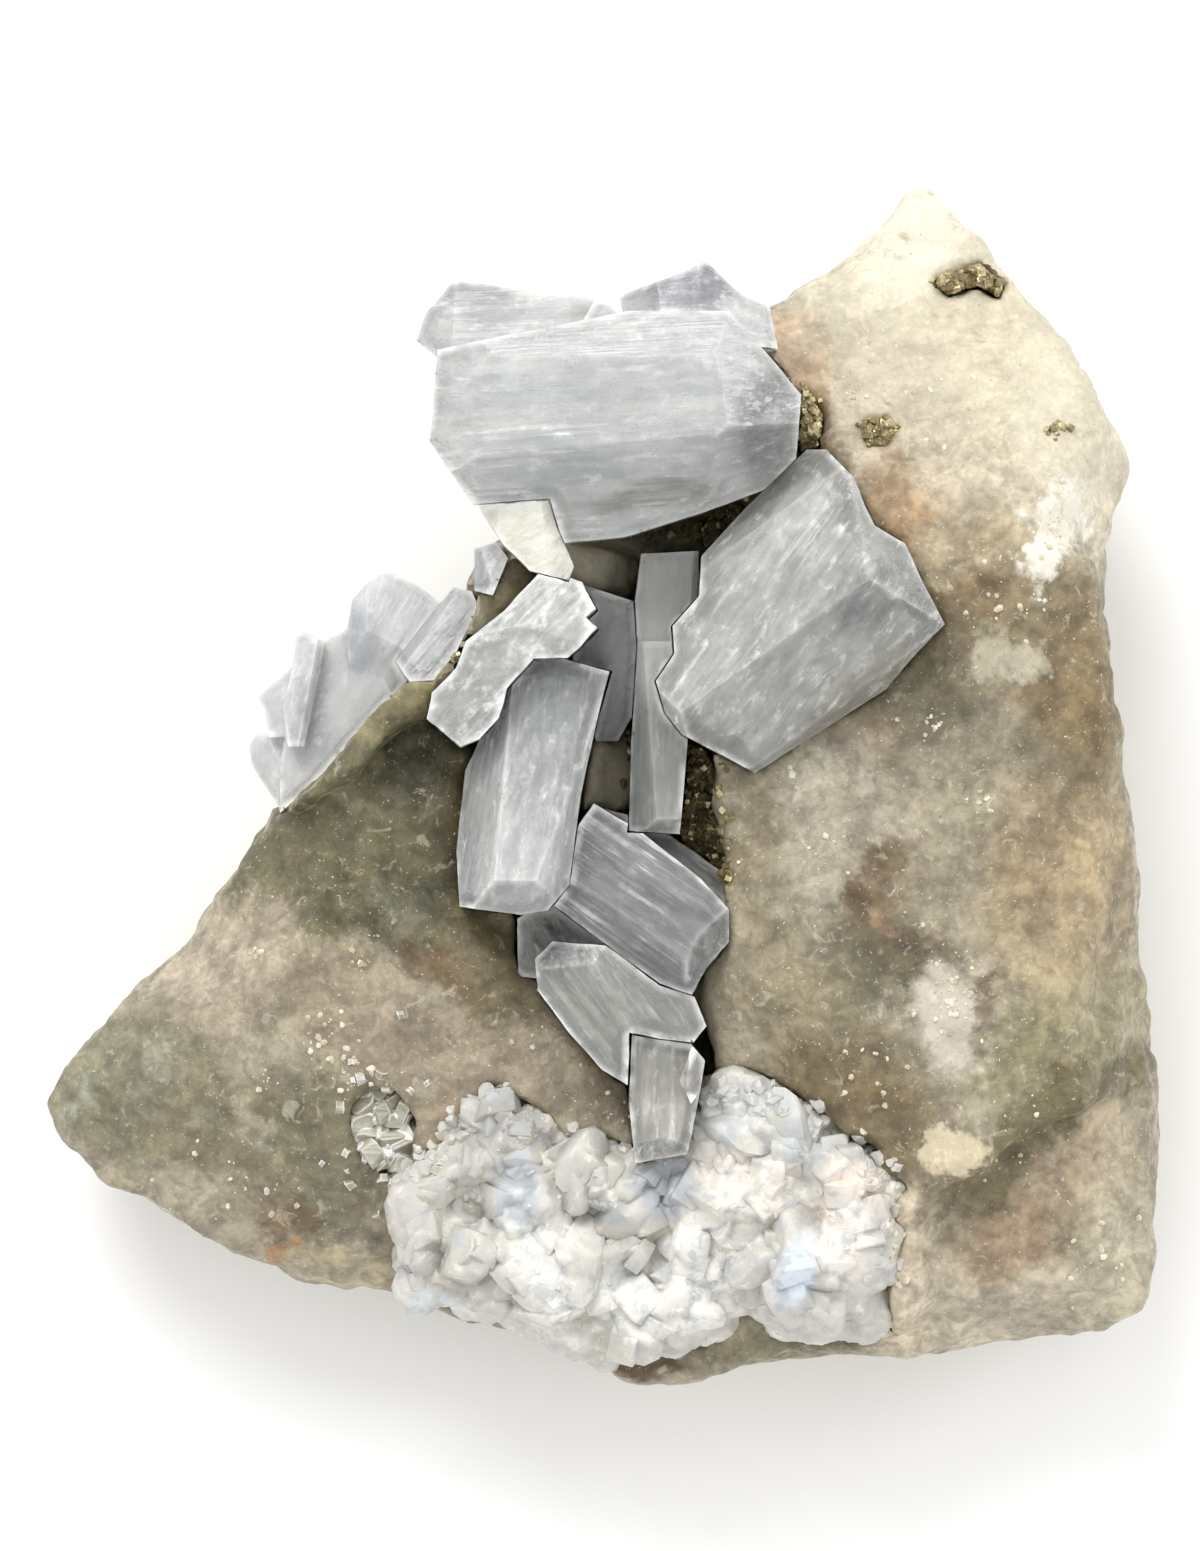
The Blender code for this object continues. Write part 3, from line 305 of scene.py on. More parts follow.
# The rock's stains: middle, half sizes, turn, colour, strength and how soft the edge is
ROCK_PATCHES = [
    ((25.4, 32.2), (17.0, 15.0), 0.0, (226, 217, 191), 1.0, 0.5),
    ((21.4, 37.2), (6.0, 7.0), 0.0, (244, 238, 218), 0.8, 0.6),
    ((31.1, 22.9), (8.0, 11.0), 10.0, (226, 216, 192), 0.9, 0.6),
    ((23.8, 28.2), (9.0, 6.0), -20.0, (226, 214, 184), 0.7, 0.7),
    ((17.1, 25.5), (9.0, 8.0), 0.0, (194, 182, 160), 0.9, 0.6),
    ((21.8, 20.9), (11.0, 5.0), -10.0, (198, 185, 160), 0.85, 0.6),
    ((11.8, 28.9), (4.4, 6.0), 40.0, (184, 156, 124), 0.9, 0.7),
    ((14.1, 30.2), (3.0, 2.0), 30.0, (206, 186, 160), 0.7, 0.7),
    ((19.1, 17.9), (4.0, 5.4), 20.0, (178, 146, 108), 0.9, 0.7),
    ((13.9, 23.5), (2.0, 4.4), 10.0, (140, 116, 80), 0.9, 0.6),
    ((29.9, 17.2), (2.4, 5.2), -22.0, (244, 238, 224), 1.0, 0.25),
    ((25.8, 14.8), (6.0, 4.0), 0.0, (178, 160, 126), 0.85, 0.6),
    ((26.4, 9.5), (14.0, 6.0), -12.0, (136, 122, 90), 0.85, 0.6),
    ((31.4, 7.5), (5.0, 9.0), 10.0, (130, 112, 80), 0.95, 0.6),
    ((30.6, 1.5), (5.0, 7.0), 0.0, (136, 116, 78), 0.8, 0.6),
    ((24.6, 12.2), (3.4, 2.6), 0.0, (128, 108, 78), 0.8, 0.6),
    ((27, 8.3), (3.2, 2.2), 15.0, (190, 182, 158), 0.95, 0.5),
    ((21.4, 5.5), (6.0, 5.0), 0.0, (112, 104, 84), 0.85, 0.6),
    ((17.8, 2.5), (4.0, 3.0), 0.0, (142, 126, 98), 0.7, 0.6),
    ((25.8, 0.2), (7.0, 5.0), 0.0, (150, 142, 118), 0.75, 0.6),
    ((13.8, -0.5), (8.0, 5.6), 30.0, (178, 170, 150), 0.85, 0.6),
    ((14.1, 1.2), (1.6, 3.2), -20.0, (214, 206, 184), 0.7, 0.6),
    ((10.4, -5.2), (3.0, 9.0), 6.0, (138, 126, 98), 0.8, 0.6),
    ((15.1, -6.5), (6.0, 5.0), 0.0, (176, 168, 146), 0.8, 0.6),
    ((18.4, -8.5), (3.6, 6.6), -24.0, (116, 96, 68), 0.95, 0.6),
    ((20.8, -11.8), (3.0, 4.4), -24.0, (92, 76, 50), 0.95, 0.6),
    ((17.2, -7.8), (1.6, 2.2), 0.0, (100, 80, 54), 0.8, 0.6),
    ((19.1, -9.2), (1.2, 1.6), 0.0, (172, 138, 108), 0.7, 0.6),
    ((23.4, -6.5), (5.0, 5.0), 0.0, (164, 154, 130), 0.75, 0.6),
    ((30.4, -7.8), (7.0, 9.0), 8.0, (164, 144, 110), 0.9, 0.6),
    ((32.8, -4.5), (3.4, 4.0), 0.0, (190, 170, 132), 0.8, 0.6),
    ((29.1, -11.8), (5.0, 4.0), 0.0, (178, 162, 128), 0.8, 0.6),
    ((31.8, -16.5), (9.0, 4.4), 14.0, (166, 156, 122), 0.9, 0.6),
    ((27.1, -18.5), (5.0, 3.6), 30.0, (140, 132, 98), 0.8, 0.6),
    ((16.4, -13.2), (6.4, 5.8), 0.0, (112, 106, 82), 0.8, 0.6),
    ((22.8, -15.2), (3.4, 5.6), 18.0, (208, 200, 182), 0.9, 0.5),
    ((25.4, -13.8), (1.2, 3.0), -10.0, (112, 88, 60), 0.7, 0.7),
    ((12.4, -15.2), (5.0, 6.0), 0.0, (150, 138, 108), 0.75, 0.6),
    ((15.1, -19.8), (7.0, 4.4), 10.0, (126, 108, 74), 0.85, 0.6),
    ((18.4, -23.1), (6.0, 5.0), 0.0, (122, 106, 74), 0.85, 0.6),
    ((31.8, -20.8), (9.5, 2.6), 22.0, (112, 102, 66), 0.9, 0.5),
    ((26.4, -25.8), (7.4, 4.0), 32.0, (122, 112, 80), 0.9, 0.6),
    ((23.6, -24.1), (2.6, 2.0), 35.0, (226, 212, 180), 0.95, 0.4),
    ((33.8, -24.5), (3.4, 5.0), 0.0, (196, 182, 154), 0.8, 0.6),
    ((29.8, -27.1), (8.0, 3.2), 52.0, (192, 172, 144), 0.85, 0.6),
    ((31.1, -30.8), (6.0, 2.2), 52.0, (128, 112, 82), 0.85, 0.6),
    ((33.8, -32.5), (4.5, 7.0), 0.0, (206, 196, 170), 0.85, 0.6),
    ((25.1, -34.5), (10.0, 4.6), 8.0, (210, 198, 174), 0.85, 0.6),
    ((26.4, -30.5), (5.0, 3.0), 30.0, (178, 150, 120), 0.7, 0.7),
    ((19.8, -31.8), (2.6, 7.0), 0.0, (226, 210, 184), 0.8, 0.5),
    ((-12.2, -2.5), (17.0, 9.6), 36.0, (68, 66, 40), 1.0, 0.3),
    ((-18.2, -4.5), (9.0, 6.0), 20.0, (108, 102, 72), 1.0, 0.35),
    ((-2.9, -6.5), (8.0, 9.0), 0.0, (106, 98, 74), 0.95, 0.5),
    ((-6.9, -11.8), (9.0, 4.6), -14.0, (122, 110, 80), 0.95, 0.4),
    ((-16.9, -8.8), (3.0, 4.0), 0.0, (98, 92, 60), 0.8, 0.6),
    ((-16.2, 0.8), (4.0, 3.0), 40.0, (140, 134, 106), 0.7, 0.7),
    ((-12.9, -7.8), (3.0, 3.0), 0.0, (126, 124, 104), 0.7, 0.7),
    ((-8.9, -1.1), (4.0, 5.0), 0.0, (96, 84, 54), 0.7, 0.7),
    ((-10.9, -12.8), (4.0, 2.0), -20.0, (112, 90, 58), 0.8, 0.6),
    ((-24.9, -11.8), (7.0, 4.4), 40.0, (184, 171, 148), 0.95, 0.4),
    ((-18.2, -13.8), (7.0, 4.4), -38.0, (168, 155, 130), 0.9, 0.5),
    ((-13.6, -17.8), (6.0, 3.6), -20.0, (168, 154, 132), 0.9, 0.5),
    ((-6.9, -18.8), (9.0, 4.0), -12.0, (160, 147, 125), 0.95, 0.5),
    ((-0.9, -20.5), (4.0, 3.0), 0.0, (150, 138, 116), 0.85, 0.6),
    ((0.4, -14.5), (5.0, 6.0), 0.0, (160, 144, 118), 0.7, 0.6),
    ((-30.2, -21.1), (8.4, 6.0), -25.0, (144, 139, 113), 0.95, 0.4),
    ((-24.2, -23.1), (10.0, 5.4), -24.0, (136, 128, 102), 0.95, 0.5),
    ((-18.2, -23.8), (6.0, 6.0), 0.0, (122, 116, 90), 0.9, 0.5),
    ((-34.4, -21.1), (1.8, 1.8), 0.0, (158, 158, 138), 0.8, 0.6),
    ((-30.2, -19.5), (1.8, 3.4), 0.0, (160, 156, 136), 0.75, 0.7),
    ((-26.6, -21.5), (1.6, 2.8), 20.0, (158, 152, 130), 0.75, 0.7),
    ((-22.9, -22.5), (1.4, 3.4), 0.0, (172, 164, 142), 0.75, 0.7),
    ((-17.9, -27.5), (4.0, 5.0), 0.0, (128, 122, 100), 0.75, 0.6),
    ((-20.9, -28.8), (3.0, 1.6), -20.0, (122, 96, 58), 0.75, 0.6),
    ((-20.8, -31.1), (1.6, 1.2), 0.0, (176, 124, 66), 0.8, 0.6),
    ((-17.2, -32.5), (5.0, 1.6), -16.0, (190, 176, 142), 0.8, 0.6),
    ((-12.6, -25.5), (2.4, 4.4), 0.0, (140, 130, 104), 0.6, 0.6),
    ((-8.9, -23.1), (3.0, 3.0), 0.0, (170, 150, 126), 0.8, 0.6),
    ((-5.6, 13.5), (5.0, 2.4), 42.0, (186, 172, 136), 0.9, 0.5),
    ((-12.2, 6.2), (8.0, 2.2), 42.0, (156, 146, 106), 0.85, 0.6),
    ((2.4, 16.2), (7.0, 4.0), 10.0, (150, 140, 114), 0.9, 0.5),
    ((5.8, 14.8), (4.0, 2.4), 0.0, (120, 104, 80), 0.8, 0.6),
    ((2.4, -37.8), (4.4, 2.2), -8.0, (92, 70, 42), 0.9, 0.5),
    ((11.8, -37.5), (7.0, 2.4), 5.0, (130, 124, 96), 0.85, 0.5),
]


# Pale places that the mottling leaves smooth; the two in the trench are painted light that lifts its shade
PALE_PATCHES = [
    ((25.4, 31.5), (16.0, 12.0), 0.0, (210, 201, 176), 0.6),
    ((21.4, 36.9), (5.0, 6.0), 0.0, (238, 232, 212), 0.6),
    ((31.1, 22.9), (6.0, 8.0), 0.0, (224, 215, 190), 0.5),
    ((29.9, 17.2), (1.8, 4.6), -22.0, (246, 240, 226), 0.9, 0.3),
    ((27, 8.4), (3.0, 2.0), 15.0, (184, 176, 152), 0.6),
    ((22.8, -15.2), (2.6, 4.6), 18.0, (214, 206, 190), 0.7),
    ((23.4, -23.8), (2.2, 1.7), 35.0, (222, 208, 176), 0.8, 0.4),
    ((18.8, -32.5), (1.4, 5.0), 0.0, (228, 214, 188), 0.6),
    # Painted light: these two lighten the trench floor, where shade falls
    ((-0.2, 14.8), (5.0, 3.0), 0.0, (236, 228, 204), 0.95),
    ((1.1, 4.2), (5.0, 11.0), 0.0, (222, 212, 186), 0.9),
    ((6.4, -7.8), (3.0, 6.0), 0.0, (186, 172, 142), 0.7),
]


def make_rock_finish():
    """Waxy fine-grained rock: grown stains, cloudy mottling, dark specks and pale grains."""
    finish = Finish("stained_rock", roughness=0.5, ior=1.5)
    place = finish.millimetres()
    drift = finish.wander(place, 0.2, 7.0)
    ragged = finish.wander(place, 1.0, 3.0, drift)
    colour = finish.patches(finish.blend(0.0, ROCK_BEIGE, ROCK_BEIGE), ragged, ROCK_PATCHES)
    broad = finish.noise(place, 0.36, 5.0, 0.58, 0.6)
    veined = finish.noise(finish.millimetres((20.0, 50.0, 10.0), (2.4, 1.0, 1.4)), 0.16, 6.0, 0.6, 1.2)
    sides = finish.blend(finish.between(veined, 0.4, 0.52), (204, 192, 164), (156, 144, 112))
    sides = finish.blend(finish.between(veined, 0.54, 0.66), sides, (116, 100, 70))
    colour = finish.blend(finish.facing((0.0, 0.0, 1.0), 0.0, 0.28, 1.0, 0.0), colour, sides)
    colour = finish.shaded(colour, finish.between(broad, 0.36, 0.62, 0.74, 1.12))
    cloud = finish.noise(place, 0.95, 6.0, 0.62, 0.5)
    colour = finish.shaded(colour, finish.between(cloud, 0.34, 0.64, 0.76, 1.14))
    # Pale places over the mottling, two of them painted light in the shaded trench
    colour = finish.patches(colour, ragged, PALE_PATCHES)
    rusty = finish.noise(finish.millimetres(middle=(4.0, 50.0, 8.0)), 0.6, 6.0, 0.65, 0.6)
    colour = finish.blend(finish.between(rusty, 0.58, 0.7, 0.0, 0.35), colour, (140, 114, 80))
    milky = finish.noise(finish.millimetres(middle=(14.0, 20.0, 31.0)), 0.8, 6.0, 0.66, 0.8)
    colour = finish.blend(finish.between(milky, 0.58, 0.68, 0.0, 0.4), colour, (220, 212, 190))
    grain = finish.cells(place, 2.2)
    colour = finish.shaded(colour, finish.between(grain, 0.1, 0.6, 1.05, 0.95))
    specks = finish.noise(place, 3.8, 2.0, 0.8)
    colour = finish.blend(finish.between(specks, 0.67, 0.71, 0.0, 0.7), colour, (246, 240, 224))
    colour = finish.blend(finish.between(specks, 0.34, 0.29, 0.0, 0.45), colour, (78, 64, 42))
    colour = finish.blend(0.14, colour, (70, 62, 48))
    finish.colour(colour)
    finish.rough(finish.between(cloud, 0.35, 0.7, 0.6, 0.36))
    height = finish.times(finish.noise(place, 1.6, 7.0, 0.62), finish.times(grain, 0.2), "ADD")
    finish.surface(finish.bump(height, 0.45, 0.25))
    return finish.material


def make_barite_finish(
        name, body, shade, patches=(), turn=(0.0, 0.0, 0.0), lines=0.35, veils=0.5,
        transmission=0.72, roughness=0.1, painted_facet_shading=((0.3, 0.6, 0.75), 0.2, 0.95, 0.84, 1.04), rim=0.55):
    """Cloudy barite: growth lines along its length, veils, clear zones, chipped edges whitened by a painted
    highlight, faces painted lighter or darker by which way they look, and patches, some of them painted
    highlight and shade.
    """
    finish = Finish(name, roughness=roughness, ior=1.64, transmission=transmission)
    place = finish.millimetres()
    stripes = finish.noise(finish.millimetres(turn, (9.0, 0.55, 0.55)), 1.0, 5.0, 0.62, 0.15)
    hair = finish.noise(finish.millimetres(turn, (14.0, 0.16, 0.16)), 1.0, 3.0, 0.5)
    veil = finish.noise(finish.millimetres(turn, (4.0, 1.6, 1.6)), 1.0, 8.0, 0.55, 0.3)
    colour = finish.blend(finish.between(veil, 0.3, 0.72), shade, body)
    fading = finish.between(finish.noise(place, 0.22, 4.0, 0.55, 0.6), 0.4, 0.6, 0.1, 1.0)
    # The patches paint some highlights and shade over the crystal, besides its own colour zones
    colour = finish.patches(colour, finish.wander(place, 0.5, 2.4), patches)
    bright = finish.times(finish.between(stripes, 0.52, 0.64, 0.0, lines), fading)
    colour = finish.blend(bright, colour, (255, 255, 253))
    dark = finish.times(finish.between(stripes, 0.46, 0.36, 0.0, lines), fading)
    colour = finish.blend(dark, colour, shade)
    colour = finish.blend(finish.between(hair, 0.58, 0.7, 0.0, lines), colour, (255, 255, 253))
    cloud = finish.noise(finish.millimetres(turn, (1.5, 0.9, 0.9)), 1.0, 8.0, 0.66, 0.2)
    colour = finish.blend(finish.between(cloud, 0.5, 0.68, 0.0, veils * 0.8), colour, (255, 255, 252))
    colour = finish.shaded(colour, finish.between(cloud, 0.34, 0.5, 1.0 - veils * 0.16, 1.0))
    # Painted light: each face made lighter or darker by which way it looks, as if lit from one side
    colour = finish.shaded(colour, finish.facing(*painted_facet_shading))
    # Chipped edges, whitened also as a painted edge highlight, and made rougher and less clear below
    edge_wear_and_highlight_noise = finish.noise(place, 0.7, 5.0, 0.65)
    edge_wear_and_highlight = finish.times(finish.edges(rim), finish.between(edge_wear_and_highlight_noise, 0.34, 0.56, 0.3, 1.0))
    colour = finish.blend(edge_wear_and_highlight, colour, (255, 255, 253))
    milky = finish.times(finish.between(cloud, 0.5, 0.7), veils * 0.5)
    milky = finish.times(milky, finish.times(bright, 0.55), "ADD")
    milky = finish.times(milky, finish.times(edge_wear_and_highlight, 0.6), "ADD")
    finish.clear(finish.between(milky, 0.0, 1.0, transmission, transmission * 0.1))
    finish.colour(colour)
    skin = finish.between(cloud, 0.35, 0.7, roughness * 0.5, roughness * 2.4)
    finish.rough(finish.times(skin, finish.times(edge_wear_and_highlight, 0.5), "ADD"))
    height = finish.times(finish.times(stripes, 0.8), finish.times(hair, 0.5), "ADD")
    height = finish.times(height, finish.times(cloud, 0.35), "ADD")
    etch = finish.noise(place, 3.0, 4.0, 0.6)
    height = finish.times(height, finish.times(etch, 0.3), "ADD")
    finish.surface(finish.bump(height, 0.45, 0.16))
    return finish.material


def make_heart_finish(name, turn, dark, light):
    """Milky barite deep in a crystal: streaks along its length and broad veils."""
    finish = Finish(name, roughness=0.7, ior=1.3)
    streaks = finish.noise(finish.millimetres(turn, (6.0, 0.7, 0.7)), 1.0, 6.0, 0.6, 0.4)
    colour = finish.blend(finish.between(streaks, 0.42, 0.6), dark, light)
    veil = finish.noise(finish.millimetres(), 0.32, 5.0, 0.55, 0.5)
    finish.colour(finish.shaded(colour, finish.between(veil, 0.36, 0.6, 0.8, 1.0)))
    return finish.material


def make_crust_finish():
    """Sugary white barite with blue-grey clear zones."""
    finish = Finish("sugary_barite", roughness=0.38, ior=1.64)
    place = finish.millimetres()
    colour = finish.patches(finish.blend(0.0, CRUST_WHITE, CRUST_WHITE), finish.wander(place, 0.5, 2.6), [
        ((9.4, -26.8), (4.4, 3.2), 0.0, (240, 234, 222), 0.5),
        ((6.4, -34.5), (3.4, 2.6), 0.0, (242, 240, 234), 0.8),
        ((0.4, -35.1), (7.0, 3.0), 0.0, (236, 234, 228), 0.8),
        ((15.8, -29.8), (2.6, 5.0), 0.0, (240, 234, 226), 0.8),
        ((-4.2, -30.5), (3.4, 4.0), 0.0, (230, 228, 222), 0.7),
        ((6.4, -31.1), (3.4, 3.0), 0.0, (238, 236, 230), 0.7),
        ((4.1, -26.5), (2.6, 3.4), 10.0, (176, 181, 186), 0.9),
        ((0.4, -28.5), (1.7, 1.5), 0.0, (160, 162, 160), 0.9),
        ((-8.9, -28.1), (1.3, 1.1), 0.0, (128, 122, 108), 0.85),
        ((-5.6, -27.1), (1.8, 3.4), 0.0, (190, 196, 204), 0.8),
        ((-11.2, -30.8), (1.4, 1.0), 0.0, (150, 148, 140), 0.8),
        ((-6.9, -22.5), (3.4, 2.4), 0.0, (166, 164, 158), 0.9),
        ((8.4, -21.8), (3.6, 2.2), 20.0, (204, 206, 204), 0.8),
        ((13.1, -23.8), (3.0, 1.8), -20.0, (190, 194, 192), 0.8),
        ((12.8, -32.5), (1.6, 3.6), -18.0, (214, 224, 236), 0.9),
        ((16.8, -26.5), (3.0, 2.0), -20.0, (236, 222, 208), 0.7),
        ((14.1, -28.8), (1.3, 0.9), 0.0, (150, 132, 112), 0.7),
        ((2.4, -32.5), (4.0, 1.8), 10.0, (206, 206, 202), 0.6),
        ((-0.2, -36.5), (3.0, 1.4), -20.0, (170, 166, 152), 0.7),
        ((-10.9, -35.1), (3.0, 1.8), -15.0, (206, 212, 214), 0.7)])
    cloud = finish.noise(place, 0.9, 7.0, 0.6, 0.3)
    colour = finish.blend(finish.between(cloud, 0.52, 0.36, 0.0, 0.7), colour, (176, 180, 182))
    colour = finish.blend(finish.between(cloud, 0.56, 0.7, 0.0, 0.6), colour, (240, 237, 230))
    specks = finish.noise(place, 3.4, 4.0, 0.7)
    colour = finish.blend(finish.between(specks, 0.33, 0.26, 0.0, 0.5), colour, (150, 142, 124))
    finish.colour(colour)
    finish.surface(finish.bump(finish.noise(place, 1.8, 7.0, 0.6), 0.35, 0.2))
    return finish.material


def make_brass_finish():
    """Brassy cube faces with fine lines and a darker tarnish."""
    finish = Finish("brassy_cubes", roughness=0.3, metallic=0.7)
    place = finish.millimetres()
    tarnish = finish.noise(place, 1.4, 4.0)
    colour = finish.blend(finish.between(tarnish, 0.4, 0.65), (140, 127, 94), BRASS)
    finish.colour(colour)
    lines = finish.noise(finish.millimetres((20.0, 30.0, 40.0), (3.0, 0.12, 3.0)), 1.0, 2.0)
    finish.surface(finish.bump(lines, 0.3, 0.06))
    finish.rough(finish.between(tarnish, 0.4, 0.65, 0.4, 0.2))
    return finish.material


def make_grain_finish(name, light, dark, roughness):
    """Small loose grains, each a little different."""
    finish = Finish(name, roughness=roughness)
    place = finish.millimetres()
    shade = finish.noise(place, 1.1, 3.0)
    colour = finish.blend(finish.between(shade, 0.38, 0.62), dark, light)
    finish.colour(colour)
    finish.surface(finish.bump(finish.noise(place, 5.0, 4.0), 0.4, 0.08))
    return finish.material


def above_foot(piece):
    """A vertex group that fades out towards the flat underside."""
    group = piece.vertex_groups.new(name="above_foot")
    for vertex in piece.data.vertices:
        share = min(1.0, max(0.0, vertex.co.z / (FOOT_BAND * MM) - 0.1))
        group.add([vertex.index], share, "REPLACE")
    return group.name


def make_rock(finish):
    """The matrix as weathered rock: rounded breaks, chips and a granular skin."""
    rock = solid_copy("matrix", "rock")
    voxels(rock, ROCK_VOXEL, 1)
    group = above_foot(rock)
    modify(rock, "DISPLACE", strength=ROCK_SWELL * MM, mid_level=0.0, vertex_group=group)
    relief(rock, "CLOUDS", 4.0, 0.7, group, noise_depth=2)
    relief(rock, "VORONOI", 2.6, 0.3, group, distance_metric="DISTANCE")
    relief(rock, "CLOUDS", 1.0, 0.2, group, noise_depth=3)
    return finish_piece(rock, "matrix_rock", finish, "matrix", angle=60.0)


def make_heart(node, name, slot, finish, voxel, depth):
    """The milky inside of a crystal, which shows through its clear skin."""
    heart = solid_copy(node, name)
    modify(heart, "REMESH", mode="VOXEL", voxel_size=voxel * MM)
    for _ in range(HEART_STEPS):
        modify(heart, "DISPLACE", strength=-depth * MM / HEART_STEPS, mid_level=0.0)
        modify(heart, "REMESH", mode="VOXEL", voxel_size=voxel * 1.2 * MM)
    relief(heart, "CLOUDS", 2.0, depth * 0.9, noise_depth=2)
    return finish_piece(heart, slot, finish, angle=60.0)


def make_crystal(
        node, name, slot, finish, turn, grid=7, depth=0.05, heart=0.9, voxel=0.3,
        milk=((190, 194, 196), (252, 253, 252))):
    """A crystal with growth lines, etched faces, chipped edges with a painted highlight, and a milky heart."""
    piece = solid_copy(node, name)
    dress(piece, finish)
    modify(piece, "DISPLACE", strength=CRYSTAL_SWELL * MM, mid_level=0.0)
    modify(
        piece, "REMESH", mode="SHARP", octree_depth=grid, scale=0.95, sharpness=1.0,
        use_remove_disconnected=False)
    relief(piece, "CLOUDS", 0.9, depth, turn=(0.0, 0.0, turn), stretch=(8.0, 0.8, 0.8), noise_depth=2)
    relief(piece, "CLOUDS", 2.0, depth * 1.6, noise_depth=3)
    if heart:
        inner = make_heart_finish(name + "_milk", (0.0, 0.0, turn), *milk)
        make_heart(node, name + "_heart", slot, inner, voxel, heart)
    return finish_piece(piece, slot, None, node, angle=22.0)


def place_camera():
    """A long lens straight above, at the height that frames the specimen."""
    distance = VIEW_HEIGHT * LENS / SENSOR
    bpy.ops.object.camera_add(
        location=(VIEW_MIDDLE[0] * MM, VIEW_MIDDLE[1] * MM, (VIEW_PLANE + distance) * MM),
        rotation=(0.0, 0.0, 0.0))
    camera = bpy.context.active_object
    camera.name = "view_from_above"
    camera.data.lens = LENS
    camera.data.sensor_fit = "VERTICAL"
    camera.data.sensor_height = SENSOR
    camera.data.clip_end = 10.0
    bpy.context.scene.camera = camera


def area_light(name, place, size, power):
    """A large soft lamp that looks at the middle of the specimen."""
    bpy.ops.object.light_add(type="AREA", location=place)
    lamp = bpy.context.active_object
    lamp.name = name
    lamp.data.shape = "DISK"
    lamp.data.size = size
    lamp.data.energy = power
    aim = Vector((0.0, 0.0, 0.015)) - Vector(place)
    lamp.rotation_euler = aim.to_track_quat("-Z", "Y").to_euler()
    lamp.visible_camera = False
    return lamp


def light_studio():
    """A white surround with one main lamp beyond the top edge and one weak one."""
    world = bpy.data.worlds.new("studio")
    world.use_nodes = True
    backdrop = world.node_tree.nodes["Background"]
    backdrop.inputs["Color"].default_value = (1.0, 1.0, 1.0, 1.0)
    backdrop.inputs["Strength"].default_value = 1.0
    bpy.context.scene.world = world
    area_light("main_lamp", (-0.16, 0.45, 0.5), 0.4, 2.6)
    area_light("right_lamp", (0.5, 0.2, 0.35), 0.2, 0.5)


def lay_floor():
    """A pale level floor with a faintly uneven matt finish."""
    bpy.ops.object.select_all(action="DESELECT")
    bpy.ops.mesh.primitive_plane_add(size=6.0, location=(0.0, 0.0, -0.0002))
    floor = bpy.context.active_object
    floor.name = "floor"
    finish = Finish("matt_floor", roughness=0.9)
    speckle = finish.noise(finish.place, 3.0, 3.0)
    finish.colour(finish.blend(speckle, FLOOR_WHITE, (255, 255, 255)))
    floor.data.materials.append(finish.material)


place_camera()
light_studio()
bpy.context.scene.view_settings.view_transform = "Standard"
lay_floor()

rock = make_rock(make_rock_finish())


tablet_finish = make_barite_finish(
    "tablet_barite", (255, 255, 251), (238, 240, 238), turn=(0.0, 0.0, 3.0), lines=0.55, veils=0.6,
    # Partly painted light: the bright top band is a painted highlight, the grey lower face and the dark right
    # end are painted shade; the other patches are the crystal's own zoning
    patches=[
        ((-0.2, 29.2), (9.0, 2.6), 3.0, (244, 245, 242), 0.8),
        ((5.8, 21.9), (8.0, 2.6), 8.0, (204, 207, 208), 0.5),
        ((3.1, 18.9), (6.4, 1.3), 10.0, (138, 136, 124), 0.7),
        ((10.8, 23.5), (2.8, 5.6), 0.0, (138, 140, 138), 0.85),
        ((-2.9, 20.9), (5.0, 3.0), 0.0, (206, 210, 212), 0.5),
        ((-8.2, 32.2), (4.0, 3.0), 0.0, (200, 202, 202), 0.8),
        ((5.8, 32.9), (4.4, 2.4), 10.0, (150, 150, 162), 0.9)])
top_crystals = make_crystal(
    "top_crystals", "top_tablets", "blue_barite", tablet_finish, 3.0, heart=1.0,
    milk=((214, 218, 220), (253, 254, 254)))

block_finish = make_barite_finish(
    "block_barite", (249, 247, 239), (210, 210, 204), turn=(0.0, 0.0, 55.0), lines=0.5, veils=0.8,
    # Faces painted strongly lighter or darker by which way they look
    painted_facet_shading=((-0.6, 0.5, 0.6), 0.1, 0.95, 0.74, 1.1),
    # Partly painted light: the pale band and the long grey band paint the block's faces lit and shaded; the
    # other patches are its own colour
    patches=[
        ((9.1, 8.2), (8.0, 1.4), 55.0, (200, 198, 192), 0.5),
        ((17.1, 12.2), (3.0, 3.4), 0.0, (140, 142, 144), 0.6),
        ((11.8, 17.5), (4.0, 1.2), 60.0, (246, 246, 244), 0.8),
        ((17.8, 6.2), (6.0, 2.6), 35.0, (206, 196, 178), 0.7),
        ((19.8, 12.8), (3.0, 1.5), -50.0, (170, 164, 152), 0.7)])
block = make_crystal(
    "block_crystal", "block", "blue_barite", block_finish, 55.0, heart=1.7)

prism_finish = make_barite_finish(
    "prism_barite", (246, 247, 244), (200, 203, 202), turn=(0.0, 0.0, 80.0), lines=0.4, veils=0.7,
    # Painted shade on the upper end of the prism and a painted highlight on its lower end
    patches=[
        ((-3.6, 6.2), (3.0, 4.4), 0.0, (192, 195, 200), 0.8),
        ((-5.6, -4.5), (3.4, 4.0), 0.0, (255, 255, 253), 0.9)])
left_prism = make_crystal(
    "left_prism", "steep_prism", "blue_barite", prism_finish, 80.0)

